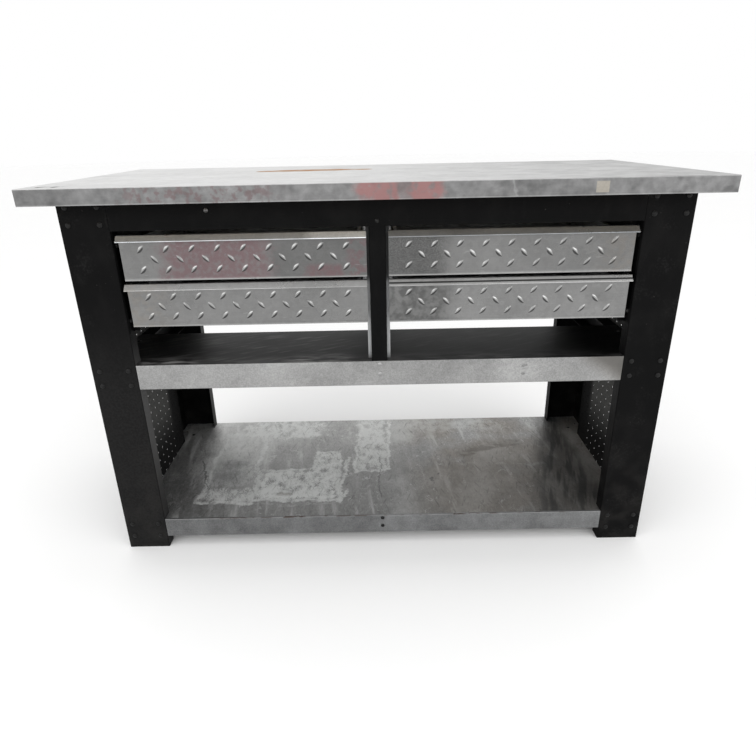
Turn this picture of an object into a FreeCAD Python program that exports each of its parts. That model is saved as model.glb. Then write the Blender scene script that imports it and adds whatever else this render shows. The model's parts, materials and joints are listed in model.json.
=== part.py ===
import FreeCAD, Part
import math
import os
from FreeCAD import Placement, Rotation, Vector

# Heavy-duty workbench in millimetres. Origin on the floor under the middle of the top,
# +X to the right, +Y to the back, +Z up. The drawers open towards -Y.

# Bench top: a folded sheet skin round a board core
top_length = 1500.0
top_depth = 720.0
bench_height = 960.0
top_edge = 35.0            # height of the folded edge
top_sheet = 1.5
top_bend = 2.0             # outside radius of the folds
top_return = 20.0          # flange turned in under the board
vise_hole_dia = 9.0
vise_hole_pitch = 34.0
vise_hole_inset = 35.0     # from the front edge, and from the left end to the first hole
top_screw_dia = 4.2
top_screw_bite = 18.0      # depth of a screw in the board
top_screw_inset = 95.0     # outer screws from the ends of an apron
rail_screw_inset = 140.0   # screws from the ends of a top rail

# Base frame: four channel legs
side_overhang = 45.0       # top past the legs at each end
front_overhang = 70.0      # top past the legs at the front and at the back
leg_web = 110.0
leg_flange = 35.0          # inner flange
leg_side = 135.0           # outer flange, with an edge turned in to the panel
leg_sheet = 2.0
leg_bend = 3.0
anchor_hole_dia = 11.0

# Cross rails and perforated panels at each end
rail_height = 62.0
rail_flange = 37.0
rail_sheet = 2.0
rail_tab_gap = 6.0         # end tab to the leg's flanges
frame_bolt_dia = 6.0
frame_bolt_edge = 11.75    # bolt to the edges of an end tab
panel_recess = 30.8        # panel's face in from the outside of the legs
panel_sheet = 1.2
panel_turn = 22.0          # edges turned out against the legs
panel_end_gap = 1.0
panel_hole_dia = 5.0
panel_hole_pitch_y = 34.3
panel_hole_pitch_z = 26.8
panel_hole_margin = 13.4
panel_rivet_inset = 52.0   # outer rivets from the ends of a panel
panel_edge_rivets = 4      # rivets in each turned-out edge
panel_edge_inset = 90.0    # end rivets of an edge from the ends of the panel

# Aprons under the top, front and back
apron_height = 65.0
apron_flange = 40.0
apron_sheet = 2.0
apron_tab_step = 5.0       # end tab shorter than the leg's flange
apron_bolt_edge = 16.5
accessory_bolt_x = -376.0
accessory_bolt_drop = 23.5  # below the top of the front apron

# Shelves
shelf_sheet = 1.5
shelf_bend = 2.0           # outside radius of the folds
shelf_side_gap = 0.5       # shelf to the legs and the panels
shelf_notch_gap = 2.0      # corner notches to the leg flanges
corner_hole_dia = 7.0      # hole in each corner that lies inside a leg
corner_hole_inset = 61.0   # from the outside of the leg, along Y
lip_return = 10.0
bottom_shelf_z = 89.0      # upper surface
bottom_lip = 55.0
open_shelf_gap = 99.0      # middle shelf's surface to the lower drawers
middle_shelf_depth = 249.0
middle_lip = 64.0
stiffener_width = 50.0
stiffener_sheet = 1.5
bottom_stiffener_gap = 8.0   # stiffener to the turned-in edge of the lip
middle_stiffener_gap = 17.0
shelf_bolt_dia = 5.0
lip_bolt_drop = 8.0        # upper bolt below the shelf's surface
lip_bolt_rise = 12.5       # lower bolt above the foot of the stiffener
shelf_bolt_inset = 53.0    # bolts from the ends of the part that lies on a rail

# Centre posts, partition and slide carriers
post_width = 38.0
post_depth = 22.0
post_lip = 10.0
post_sheet = 1.5
post_bend = 2.0
post_bolt_rise = 11.5      # bolt above the lower edge of the apron
foot_bolt_setback = 14.0   # behind the face of the front post
housing_sheet = 1.2
partition_width = 54.0
carrier_offset = 16.0      # carrier's face in from the legs
carrier_lap_gap = 3.0      # bent end of a carrier to the ends of the leg's flange
carrier_bolt_edge = 30.0
housing_top_gap = 3.5      # below the aprons
housing_drop = 19.0        # below the lower drawers
rivet_dia = 4.0
housing_rivet_edge = 25.0

# Drawers
front_height = 104.0
front_sheet = 1.0
front_overlap = 2.0        # front past the slide walls at each end
front_top_gap = 8.5        # upper drawers to the apron
front_gap = 6.0            # between upper and lower drawers
pull_ledge = 9.0
pull_reach = 20.0
pull_drop = 12.0
pull_hem_dia = 2.4
kick_height = 6.0
kick_reach = 2.0
front_tab = 15.0           # tabs riveted inside the box
box_sheet = 1.0
box_hem = 8.0
box_below = 8.0            # box above the lower edge of the front
box_above = 16.0           # box below the upper edge of the front
box_tab_gap = 8.0          # tab to the box's bottom and hem
tread_length = 25.0
tread_width = 8.0
tread_height = 1.3
tread_run = 1.0            # ends of a pad run on inside the sheet
tread_angle = 47.0
tread_pitch = 58.0
tread_row_gap = 23.5
tread_first_row = 25.0     # above the lower edge of the front
tread_rows = 3
tread_margin = 40.0

# Ball-bearing slides
slide_height = 35.0
slide_thickness = 12.7
slide_sheet = 1.2
slide_lip = 3.0
slide_gap = 0.5            # fixed rail's lips to the runner's web
slide_setback = 12.0       # behind the faces of the legs
drawer_rear_gap = 118.0    # behind the slides, to the rear of the legs
slide_overlap = 110.0      # runner left in the rail when the drawer is open
ball_dia = 4.7
ball_pitch = 18.0
cage_sheet = 0.8
running_gap = 0.3
slide_rivet_inset = 40.0
tab_rivet_clear = 7.5      # rivets of the front's tabs to the slide

hole_fit = 0.2             # radial clearance of fastener holes
drill_reach = 0.6          # drill past both faces of what is clamped

# Positions worked out from the sizes above
base_x = top_length / 2 - side_overhang
base_y = top_depth / 2 - front_overhang
leg_inner_x = base_x - leg_web
leg_mid_x = base_x - leg_web / 2
flange_mid_y = base_y - leg_flange / 2
frame_top = bench_height - top_edge + top_sheet
apron_bottom = frame_top - apron_height
upper_z = apron_bottom - front_top_gap - front_height
lower_z = upper_z - front_gap - front_height
middle_shelf_z = lower_z - open_shelf_gap
middle_rear_y = middle_shelf_depth - base_y
middle_wing_y = middle_rear_y - shelf_notch_gap
rail_x = base_x - panel_recess - panel_sheet
rail_end_y = base_y - leg_sheet
rail_tab_x0 = leg_inner_x + leg_sheet + rail_tab_gap
rail_tab_x1 = base_x - leg_sheet - rail_tab_gap
rail_tops = {
    "bottom": bottom_shelf_z - shelf_sheet,
    "middle": middle_shelf_z - shelf_sheet,
    "top": frame_top,
}
panel_half = base_y - leg_side
panel_bottom = bottom_shelf_z - shelf_sheet - rail_height
panel_top = frame_top - panel_end_gap
edge_rivet_x = rail_x + panel_turn / 2
wing_x = rail_x - shelf_side_gap
wing_y = base_y - leg_flange - shelf_notch_gap
post_face_y = base_y - apron_sheet
partition_y = post_face_y - post_depth
partition_x = partition_width / 2
carrier_x = leg_inner_x - carrier_offset
housing_top = apron_bottom - housing_top_gap
housing_bottom = lower_z - housing_drop
drawer_x = (partition_x + carrier_x) / 2
slot_half = (carrier_x - partition_x) / 2
box_half = slot_half - slide_thickness
front_half = slot_half + front_overlap
face_back_y = -base_y + front_sheet
box_z0 = box_below
box_z1 = front_height - box_above
slide_z = (box_z0 + box_z1) / 2
slide_front_y = -base_y + slide_setback
slide_rear_y = base_y - drawer_rear_gap
slide_length = slide_rear_y - slide_front_y
slide_travel = slide_length - slide_overlap
rail_depth = slide_thickness - slide_sheet - slide_gap
runner_half = slide_height / 2 - slide_sheet - ball_dia - 2 * running_gap
runner_u0 = slide_sheet + cage_sheet + 2 * running_gap
ball_w = runner_half + running_gap + ball_dia / 2
cage_mid_y = slide_front_y + slide_overlap / 2 + slide_travel / 2

LEFT, RIGHT = -1, 1
FRONT, REAR = -1, 1
UP, DOWN = Vector(0, 0, 1), Vector(0, 0, -1)


def block(x_span, y_span, z_span):
    """Box between two limits on each axis, given in either order."""
    low = Vector(min(x_span), min(y_span), min(z_span))
    high = Vector(max(x_span), max(y_span), max(z_span))
    size = high - low
    return Part.makeBox(size.x, size.y, size.z, low)


def merged(shapes):
    """One clean solid from overlapping or touching shapes."""
    return shapes[0].multiFuse(shapes[1:]).removeSplitter()


def placed(shape, seat, direction):
    """Copy of a piece made along +Z from the origin, set at a seat and turned to a direction."""
    copy = shape.copy()
    copy.Placement = Placement(seat, Rotation(UP, direction))
    return copy


def prism(points, direction):
    """Solid swept straight from a closed outline of corner points."""
    return Part.Face(Part.makePolygon(points + points[:1])).extrude(direction)


def evenly(low, high, pitch):
    """Centred positions at a fixed pitch that fit between two limits."""
    steps = int((high - low) // pitch)
    first = (low + high - steps * pitch) / 2
    return [first + i * pitch for i in range(steps + 1)]


def dome(radius, height, rim):
    """Low domed head whose flat seat is at z = 0 and whose crown points to -Z."""
    centre = Vector(0, 0, 0)
    seat_edge = Vector(radius, 0, 0)
    rim_edge = Vector(radius, 0, -rim)
    crown = Vector(0, 0, -height)
    sphere_radius = (radius ** 2 + (height - rim) ** 2) / (2 * (height - rim))
    half_turn = math.asin(radius / sphere_radius) / 2
    middle = Vector(sphere_radius * math.sin(half_turn), 0,
                    -height + sphere_radius * (1 - math.cos(half_turn)))
    outline = Part.Wire([
        Part.LineSegment(centre, seat_edge).toShape(),
        Part.LineSegment(seat_edge, rim_edge).toShape(),
        Part.Arc(rim_edge, middle, crown).toShape(),
        Part.LineSegment(crown, centre).toShape(),
    ])
    return Part.Face(outline).revolve(centre, UP, 360)


def bolt(dia, grip):
    """Domed bolt with its hexagon nut: head before z = 0, nut after the clamped sheets."""
    nut_corner = 0.92 * dia
    nut_height = 0.8 * dia
    tail = 0.2 * dia
    corners = [Vector(nut_corner * math.cos(math.radians(60 * i)),
                      nut_corner * math.sin(math.radians(60 * i)), grip) for i in range(6)]
    nut = prism(corners, Vector(0, 0, nut_height))
    shank = Part.makeCylinder(dia / 2, grip + nut_height + tail)
    return merged([dome(dia, 0.6 * dia, 0.2 * dia), shank, nut])


def rivet(grip):
    """Blind rivet with a low head on each side of the clamped sheets."""
    head = dome(0.85 * rivet_dia, 0.3 * rivet_dia, 0.08 * rivet_dia)
    tail = placed(head, Vector(0, 0, grip), DOWN)
    return merged([head, Part.makeCylinder(rivet_dia / 2, grip), tail])


def sunk_head(clearance):
    """Cone of a flush rivet head that fills the slide's sheet."""
    wide = 0.8 * rivet_dia + clearance
    return Part.makeCone(wide, rivet_dia / 2 + clearance, slide_sheet)


def flush_rivet(grip):
    """Rivet with a flush head in the slide and a domed tail behind the wall."""
    tail = placed(dome(0.85 * rivet_dia, 0.3 * rivet_dia, 0.08 * rivet_dia), Vector(0, 0, grip), DOWN)
    return merged([sunk_head(0), Part.makeCylinder(rivet_dia / 2, grip), tail])


def screw(dia, grip, bite):
    """Pan-head screw: head before z = 0, shank through the sheet and into the board."""
    return merged([dome(dia, 0.55 * dia, 0.2 * dia), Part.makeCylinder(dia / 2, grip + bite)])


def fastened(piece, seats):
    """A copy of one fastener at each seat."""
    return [placed(piece, seat, direction) for seat, direction in seats]


def drilled(shape, seats, dia, grip):
    """Shape with a clearance hole at each fastener seat."""
    drill = Part.makeCylinder(dia / 2 + hole_fit, grip + 2 * drill_reach, Vector(0, 0, -drill_reach))
    return shape.cut(fastened(drill, seats))


# Fastener seats: the point under each head, and the way the shank points

def leg_bolt_seats(side, end):
    """Bolts through one leg into the end tabs of its three rails."""
    reach_x = (rail_tab_x1 - rail_tab_x0) / 2 - frame_bolt_edge
    reach_z = rail_height / 2 - frame_bolt_edge
    return [(Vector(side * (leg_mid_x + dx), end * base_y, top - rail_height / 2 + dz), Vector(0, -end, 0))
            for top in rail_tops.values() for dx in (-reach_x, reach_x) for dz in (-reach_z, reach_z)]


def apron_end_seats(side, end):
    """Bolts through an apron's end tab into the inner flange of a leg."""
    return [(Vector(side * (leg_inner_x - apron_sheet), end * flange_mid_y, z), Vector(side, 0, 0))
            for z in (apron_bottom + apron_bolt_edge, frame_top - apron_bolt_edge)]


def post_seat(end):
    """Bolt through an apron into a centre post."""
    return [(Vector(0, end * base_y, apron_bottom + post_bolt_rise), Vector(0, -end, 0))]


def accessory_seat():
    """Single bolt that stands in the accessory hole of the front apron."""
    return [(Vector(accessory_bolt_x, -base_y, frame_top - accessory_bolt_drop), Vector(0, 1, 0))]


def carrier_seats(side, end):
    """Bolts through the bent end of a slide carrier into a leg."""
    return [(Vector(side * (leg_inner_x - housing_sheet), end * flange_mid_y, z), Vector(side, 0, 0))
            for z in (housing_bottom + carrier_bolt_edge, housing_top - carrier_bolt_edge)]


def lip_seats(surface, stiffener_bottom, front_y, rear_y):
    """Bolts through both lips of a shelf into the ends of its stiffener."""
    heights = (surface - lip_bolt_drop, stiffener_bottom + lip_bolt_rise)
    return [(Vector(0, y, z), Vector(0, inward, 0))
            for y, inward in ((front_y, 1), (rear_y, -1)) for z in heights]


def wing_seats(surface, rear_y):
    """Bolts down through a shelf into the flanges of the rails under it."""
    return [(Vector(side * (rail_x - rail_flange / 2), y, surface), DOWN)
            for side in (LEFT, RIGHT) for y in (shelf_bolt_inset - wing_y, rear_y - shelf_bolt_inset)]


def foot_seat():
    """Bolt down through the front post's foot and the middle shelf."""
    return [(Vector(0, -post_face_y + foot_bolt_setback, middle_shelf_z + post_sheet), DOWN)]


def panel_rivet_seats(side):
    """Rivets through a side panel into the webs of its three rails."""
    outer_y = panel_half - panel_rivet_inset
    return [(Vector(side * (rail_x + panel_sheet), y, top - rail_height / 2), Vector(-side, 0, 0))
            for top in rail_tops.values() for y in (-outer_y, 0, outer_y)]


def panel_edge_seats(side, end):
    """Rivets through one turned-out edge of a side panel into the edge of a leg."""
    low, high = panel_bottom + panel_edge_inset, panel_top - panel_edge_inset
    step = (high - low) / (panel_edge_rivets - 1)
    return [(Vector(side * edge_rivet_x, end * (panel_half - panel_sheet), low + i * step), Vector(0, end, 0))
            for i in range(panel_edge_rivets)]


def partition_rivet_seats(end):
    """Rivets through the lips of a centre post into the partition."""
    middle = (housing_bottom + housing_top) / 2
    return [(Vector(x, end * (partition_y + post_sheet), z), Vector(0, -end, 0))
            for x in (-(post_width - post_lip) / 2, (post_width - post_lip) / 2)
            for z in (housing_bottom + housing_rivet_edge, middle, housing_top - housing_rivet_edge)]


def slide_stations():
    """Places of the three rivets along a slide."""
    return (slide_front_y + slide_rivet_inset, (slide_front_y + slide_rear_y) / 2,
            slide_rear_y - slide_rivet_inset)


def wall_rivet_seats(wall):
    """Flush rivets of one fixed rail, in the drawer's own frame."""
    return [(Vector(wall * (slot_half - slide_sheet), y, slide_z), Vector(wall, 0, 0))
            for y in slide_stations()]


def runner_rivet_seats(wall):
    """Rivets of one runner, in the drawer's own frame."""
    return [(Vector(wall * (box_half + slide_sheet), y, slide_z), Vector(-wall, 0, 0))
            for y in slide_stations()]


def tab_rivet_seats(wall):
    """Rivets through one side of the box into the front's tab."""
    rise = slide_height / 2 + tab_rivet_clear
    return [(Vector(wall * box_half, face_back_y + front_tab / 2, slide_z + dz), Vector(-wall, 0, 0))
            for dz in (-rise, rise)]


def top_screw_seats():
    """Screws up through the aprons and the top rails."""
    outer = leg_inner_x - top_screw_inset
    flange_y = base_y - apron_sheet - (apron_flange - apron_sheet) / 2
    along_aprons = [(x, end * flange_y, frame_top - apron_sheet)
                    for end in (FRONT, REAR) for x in (-outer, -outer / 3, outer / 3, outer)]
    rail_screw_y = base_y - rail_screw_inset
    along_rails = [(side * (rail_x - rail_flange / 2), y, frame_top - rail_sheet)
                   for side in (LEFT, RIGHT) for y in (-rail_screw_y, rail_screw_y)]
    return [(Vector(*point), UP) for point in along_aprons], [(Vector(*point), UP) for point in along_rails]


# Pieces of the top

def vise_holes():
    """Drills for the pair of holes at the left end of the front edge."""
    first_x = -top_length / 2 + vise_hole_inset
    y = -top_depth / 2 + vise_hole_inset
    return [Part.makeCylinder(vise_hole_dia / 2, 2 * top_edge, Vector(x, y, bench_height - top_edge - top_sheet))
            for x in (first_x, first_x + vise_hole_pitch)]


def make_top_skin():
    """Folded sheet: top, four edges and the flange turned in underneath."""
    half_x, half_y = top_length / 2, top_depth / 2
    bottom = bench_height - top_edge
    outside = block((-half_x, half_x), (-half_y, half_y), (bottom, bench_height))
    folds = [edge for edge in outside.Edges if edge.BoundBox.ZMax > bottom + top_sheet]
    rounded = outside.makeFillet(top_bend, folds)
    inside = block((top_sheet - half_x, half_x - top_sheet), (top_sheet - half_y, half_y - top_sheet),
                   (frame_top, bench_height - top_sheet))
    mouth = block((top_return - half_x, half_x - top_return), (top_return - half_y, half_y - top_return),
                  (bottom - top_sheet, frame_top))
    return rounded.cut([inside, mouth] + vise_holes())


def make_top_core():
    """Board that fills the skin and rests on the frame."""
    half_x, half_y = top_length / 2 - top_sheet, top_depth / 2 - top_sheet
    board = block((-half_x, half_x), (-half_y, half_y), (frame_top, bench_height - top_sheet))
    apron_seats, rail_seats = top_screw_seats()
    board = drilled(board, apron_seats, top_screw_dia, apron_sheet + top_screw_bite)
    board = drilled(board, rail_seats, top_screw_dia, rail_sheet + top_screw_bite)
    return board.cut(vise_holes())


def make_top_screws():
    apron_seats, rail_seats = top_screw_seats()
    return (fastened(screw(top_screw_dia, apron_sheet, top_screw_bite), apron_seats)
            + fastened(screw(top_screw_dia, rail_sheet, top_screw_bite), rail_seats))


# Pieces of the base frame

def make_leg(side, end):
    """Folded leg: a web outwards, a short inner flange, a deep side turned in to the panel, and a foot."""
    section = [
        (leg_inner_x, base_y - leg_flange), (leg_inner_x, base_y), (base_x, base_y), (base_x, panel_half),
        (rail_x, panel_half), (rail_x, panel_half + leg_sheet), (base_x - leg_sheet, panel_half + leg_sheet),
        (base_x - leg_sheet, base_y - leg_sheet), (leg_inner_x + leg_sheet, base_y - leg_sheet),
        (leg_inner_x + leg_sheet, base_y - leg_flange),
    ]
    folded = prism([Vector(side * x, end * y, 0) for x, y in section], Vector(0, 0, frame_top))
    foot = block((side * leg_inner_x, side * base_x), (end * base_y, end * (base_y - leg_flange)), (0, leg_sheet))
    upright = merged([folded, foot])
    corners = ((leg_inner_x, base_y), (base_x, base_y), (base_x, panel_half))
    folds = [edge for edge in upright.Edges if edge.BoundBox.ZLength > frame_top / 2
             and any(abs(edge.CenterOfMass.x - side * x) + abs(edge.CenterOfMass.y - end * y) < leg_sheet / 2
                     for x, y in corners)]
    anchor = Part.makeCylinder(anchor_hole_dia / 2, 4 * leg_sheet,
                               Vector(side * leg_mid_x, end * flange_mid_y, -leg_sheet))
    leg = upright.makeFillet(leg_bend, folds).cut(anchor)
    leg = drilled(leg, leg_bolt_seats(side, end), frame_bolt_dia, leg_sheet + rail_sheet)
    leg = drilled(leg, apron_end_seats(side, end), frame_bolt_dia, apron_sheet + leg_sheet)
    leg = drilled(leg, panel_edge_seats(side, end), rivet_dia, panel_sheet + leg_sheet)
    return drilled(leg, carrier_seats(side, end), shelf_bolt_dia, housing_sheet + leg_sheet)


def make_rail(side, level):
    """Channel rail from front leg to rear leg, with a wide bolted tab at each end."""
    top = rail_tops[level]
    bottom = top - rail_height
    web_in = rail_x - rail_sheet
    flange_x = rail_x - rail_flange
    bar_y = (rail_sheet - rail_end_y, rail_end_y - rail_sheet)
    pieces = [
        block((side * web_in, side * rail_x), bar_y, (bottom, top)),
        block((side * flange_x, side * rail_x), bar_y, (top - rail_sheet, top)),
        block((side * flange_x, side * rail_x), bar_y, (bottom, bottom + rail_sheet)),
    ]
    for end in (FRONT, REAR):
        pieces.append(block((side * rail_tab_x0, side * rail_tab_x1),
                            (end * rail_end_y, end * (rail_end_y - rail_sheet)), (bottom, top)))
    rail = merged(pieces)
    for end in (FRONT, REAR):
        rail = drilled(rail, leg_bolt_seats(side, end), frame_bolt_dia, leg_sheet + rail_sheet)
    rail = drilled(rail, panel_rivet_seats(side), rivet_dia, panel_sheet + rail_sheet)
    if level == "top":
        return drilled(rail, top_screw_seats()[1], top_screw_dia, rail_sheet)
    rear_y = {"bottom": wing_y, "middle": middle_wing_y}[level]
    surface = top + shelf_sheet
    return drilled(rail, wing_seats(surface, rear_y), shelf_bolt_dia, shelf_sheet + rail_sheet)


def make_side_panel(side):
    """Perforated sheet on the outside of the rails at one end, its upright edges turned out against the legs."""
    x = side * rail_x
    corners = [Vector(x, y, z) for y, z in ((-panel_half, panel_bottom), (panel_half, panel_bottom),
                                            (panel_half, panel_top), (-panel_half, panel_top))]
    outline = Part.makePolygon(corners + corners[:1])
    columns = evenly(panel_hole_margin - panel_half, panel_half - panel_hole_margin, panel_hole_pitch_y)
    count = int((panel_top - panel_bottom - 2 * panel_hole_margin) // panel_hole_pitch_z) + 1
    rows = [panel_bottom + panel_hole_margin + i * panel_hole_pitch_z for i in range(count)]
    holes = [Part.Wire(Part.Circle(Vector(x, y, z), Vector(1, 0, 0), panel_hole_dia / 2).toShape())
             for y in columns for z in rows]
    sheet = Part.makeFace([outline] + holes, "Part::FaceMakerBullseye").extrude(Vector(side * panel_sheet, 0, 0))
    edges = [block((x, x + side * panel_turn), (end * panel_half, end * (panel_half - panel_sheet)),
                   (panel_bottom, panel_top)) for end in (FRONT, REAR)]
    panel = drilled(merged([sheet] + edges), panel_rivet_seats(side), rivet_dia, panel_sheet + rail_sheet)
    for end in (FRONT, REAR):
        panel = drilled(panel, panel_edge_seats(side, end), rivet_dia, panel_sheet + leg_sheet)
    return panel


def make_panel_rivets():
    """Rivets of both side panels, into the rails and into the edges of the legs."""
    rivets = fastened(rivet(panel_sheet + rail_sheet), panel_rivet_seats(LEFT) + panel_rivet_seats(RIGHT))
    for side in (LEFT, RIGHT):
        for end in (FRONT, REAR):
            rivets += fastened(rivet(panel_sheet + leg_sheet), panel_edge_seats(side, end))
    return rivets


def make_apron(end):
    """Angle under the top, with an end tab bolted to the inner flange of each leg."""
    back_y = base_y - apron_sheet
    pieces = [
        block((-leg_inner_x, leg_inner_x), (end * base_y, end * back_y), (apron_bottom, frame_top)),
        block((-leg_inner_x, leg_inner_x), (end * base_y, end * (base_y - apron_flange)),
              (frame_top - apron_sheet, frame_top)),
    ]
    for side in (LEFT, RIGHT):
        pieces.append(block((side * leg_inner_x, side * (leg_inner_x - apron_sheet)),
                            (end * base_y, end * (base_y - leg_flange + apron_tab_step)), (apron_bottom, frame_top)))
    apron = merged(pieces)
    for side in (LEFT, RIGHT):
        apron = drilled(apron, apron_end_seats(side, end), frame_bolt_dia, apron_sheet + leg_sheet)
    apron = drilled(apron, post_seat(end), shelf_bolt_dia, apron_sheet + post_sheet)
    if end == FRONT:
        apron = drilled(apron, accessory_seat(), shelf_bolt_dia, apron_sheet)
    return drilled(apron, top_screw_seats()[0], top_screw_dia, apron_sheet)


def make_apron_bolts():
    ends = [seat for side in (LEFT, RIGHT) for end in (FRONT, REAR) for seat in apron_end_seats(side, end)]
    return (fastened(bolt(frame_bolt_dia, apron_sheet + leg_sheet), ends)
            + fastened(bolt(shelf_bolt_dia, apron_sheet + post_sheet), post_seat(FRONT) + post_seat(REAR))
            + fastened(bolt(shelf_bolt_dia, apron_sheet), accessory_seat()))


# Shelves

def stiffener_foot(surface, lip, gap):
    """Lower edge of the stiffener under a shelf."""
    return surface - lip + shelf_sheet + gap


bottom_stiffener_z = stiffener_foot(bottom_shelf_z, bottom_lip, bottom_stiffener_gap)
middle_stiffener_z = stiffener_foot(middle_shelf_z, middle_lip, middle_stiffener_gap)


def corner_plates(under, surface):
    """Parts of a full-depth shelf that reach into the legs, one at each corner, with a hole in each."""
    inner_x, outer_x = leg_inner_x + leg_sheet + shelf_notch_gap, base_x - leg_sheet - shelf_notch_gap
    near_y, far_y = panel_half + leg_sheet + shelf_notch_gap, base_y - leg_sheet - shelf_notch_gap
    hole_x, hole_y = (wing_x + outer_x) / 2, base_y - corner_hole_inset
    plates = []
    for side in (LEFT, RIGHT):
        for end in (FRONT, REAR):
            hole = Part.makeCylinder(corner_hole_dia / 2, 4 * shelf_sheet,
                                     Vector(side * hole_x, end * hole_y, under - shelf_sheet))
            plates.append(block((side * inner_x, side * wing_x), (end * wing_y, end * far_y), (under, surface)))
            plates.append(block((side * wing_x, side * outer_x), (end * near_y, end * far_y), (under, surface)).cut(hole))
    return plates


def make_shelf(surface, lip, rear_y, wing_rear_y, bolt_seats):
    """Folded shelf notched round the legs, lying on the rails, with a lip at front and back."""
    lip_x = leg_inner_x - shelf_side_gap
    front_y = -base_y
    under = surface - shelf_sheet
    lip_bottom = surface - lip
    pieces = [
        block((-lip_x, lip_x), (front_y, rear_y), (under, surface)),
        block((-wing_x, wing_x), (-wing_y, wing_rear_y), (under, surface)),
    ]
    if rear_y == base_y:
        pieces += corner_plates(under, surface)
    for edge_y, inward in ((front_y, 1), (rear_y, -1)):
        pieces.append(block((-lip_x, lip_x), (edge_y, edge_y + inward * shelf_sheet), (lip_bottom, surface)))
        pieces.append(block((-lip_x, lip_x), (edge_y, edge_y + inward * lip_return),
                            (lip_bottom, lip_bottom + shelf_sheet)))
    folded = merged(pieces)
    folds = [edge for edge in folded.Edges if edge.BoundBox.XLength > lip_x and edge.BoundBox.YLength < shelf_sheet
             and min(abs(edge.CenterOfMass.y - y) for y in (front_y, rear_y)) < shelf_sheet / 2
             and min(abs(edge.CenterOfMass.z - z) for z in (surface, lip_bottom)) < shelf_sheet / 2]
    rounded = folded.makeFillet(shelf_bend, folds)
    shelf = drilled(rounded, bolt_seats, shelf_bolt_dia, shelf_sheet + stiffener_sheet)
    return drilled(shelf, wing_seats(surface, wing_rear_y), shelf_bolt_dia, shelf_sheet + rail_sheet)


def make_stiffener(surface, foot, rear_y, bolt_seats):
    """Channel with closed ends under the middle of a shelf."""
    half = stiffener_width / 2
    top = surface - shelf_sheet
    ends = (shelf_sheet - base_y, rear_y - shelf_sheet)
    outside = block((-half, half), ends, (foot, top))
    inside = block((stiffener_sheet - half, half - stiffener_sheet),
                   (ends[0] + stiffener_sheet, ends[1] - stiffener_sheet), (foot - stiffener_sheet, top - stiffener_sheet))
    return drilled(outside.cut(inside), bolt_seats, shelf_bolt_dia, shelf_sheet + stiffener_sheet)


bottom_lip_seats = lip_seats(bottom_shelf_z, bottom_stiffener_z, -base_y, base_y)
middle_lip_seats = lip_seats(middle_shelf_z, middle_stiffener_z, -base_y, middle_rear_y)
foot_grip = post_sheet + shelf_sheet + stiffener_sheet


def make_middle_shelf():
    shelf = make_shelf(middle_shelf_z, middle_lip, middle_rear_y, middle_wing_y, middle_lip_seats)
    return drilled(shelf, foot_seat(), shelf_bolt_dia, foot_grip)


def make_middle_stiffener():
    stiffener = make_stiffener(middle_shelf_z, middle_stiffener_z, middle_rear_y, middle_lip_seats)
    return drilled(stiffener, foot_seat(), shelf_bolt_dia, foot_grip)


def make_shelf_bolts():
    lip_bolt = bolt(shelf_bolt_dia, shelf_sheet + stiffener_sheet)
    wing_bolt = bolt(shelf_bolt_dia, shelf_sheet + rail_sheet)
    wings = wing_seats(bottom_shelf_z, wing_y) + wing_seats(middle_shelf_z, middle_wing_y)
    return (fastened(lip_bolt, bottom_lip_seats + middle_lip_seats) + fastened(wing_bolt, wings)
            + fastened(bolt(shelf_bolt_dia, foot_grip), foot_seat()))


# Drawer housing

def make_post(end, foot_z):
    """Lipped channel behind an apron."""
    half = post_width / 2
    top = frame_top - apron_sheet
    height = (foot_z, top)
    face_y, back_y = end * post_face_y, end * partition_y
    pieces = [block((-half, half), (face_y, end * (post_face_y - post_sheet)), height)]
    for side in (LEFT, RIGHT):
        pieces.append(block((side * half, side * (half - post_sheet)), (face_y, back_y), height))
        pieces.append(block((side * half, side * (half - post_lip)), (back_y, end * (partition_y + post_sheet)), height))
    if end == FRONT:
        pieces.append(block((-half, half), (face_y, back_y), (foot_z, foot_z + post_sheet)))
    folded = merged(pieces)
    folds = [edge for edge in folded.Edges
             if edge.BoundBox.ZLength > post_width and abs(edge.CenterOfMass.y - face_y) < post_sheet / 2
             and abs(abs(edge.CenterOfMass.x) - half) < post_sheet / 2]
    post = drilled(folded.makeFillet(post_bend, folds), post_seat(end), shelf_bolt_dia, apron_sheet + post_sheet)
    post = drilled(post, partition_rivet_seats(end), rivet_dia, post_sheet + housing_sheet)
    if end == FRONT:
        post = drilled(post, foot_seat(), shelf_bolt_dia, foot_grip)
    return post


def make_partition():
    """Folded sheet between the drawers: a front that stands on the shelf, two walls and rear flanges."""
    height = (housing_bottom, housing_top)
    inner_y = partition_y - housing_sheet
    pieces = [block((-partition_x, partition_x), (-partition_y, -inner_y), (middle_shelf_z, housing_top))]
    for side in (LEFT, RIGHT):
        pieces.append(block((side * partition_x, side * (partition_x - housing_sheet)),
                            (-partition_y, partition_y), height))
        pieces.append(block((side * partition_x, side * (post_width / 2 - post_lip)), (inner_y, partition_y), height))
    partition = merged(pieces)
    for end in (FRONT, REAR):
        partition = drilled(partition, partition_rivet_seats(end), rivet_dia, post_sheet + housing_sheet)
    return drill_slide_walls(partition)


def drill_slide_walls(sheet):
    """Holes for the flush rivets of all the fixed rails."""
    for side, z in drawer_places.values():
        for wall in (LEFT, RIGHT):
            seats = [(seat + Vector(side * drawer_x, 0, z), direction) for seat, direction in wall_rivet_seats(wall)]
            sheet = drilled(sheet, seats, rivet_dia, slide_sheet + housing_sheet)
    return sheet


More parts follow.
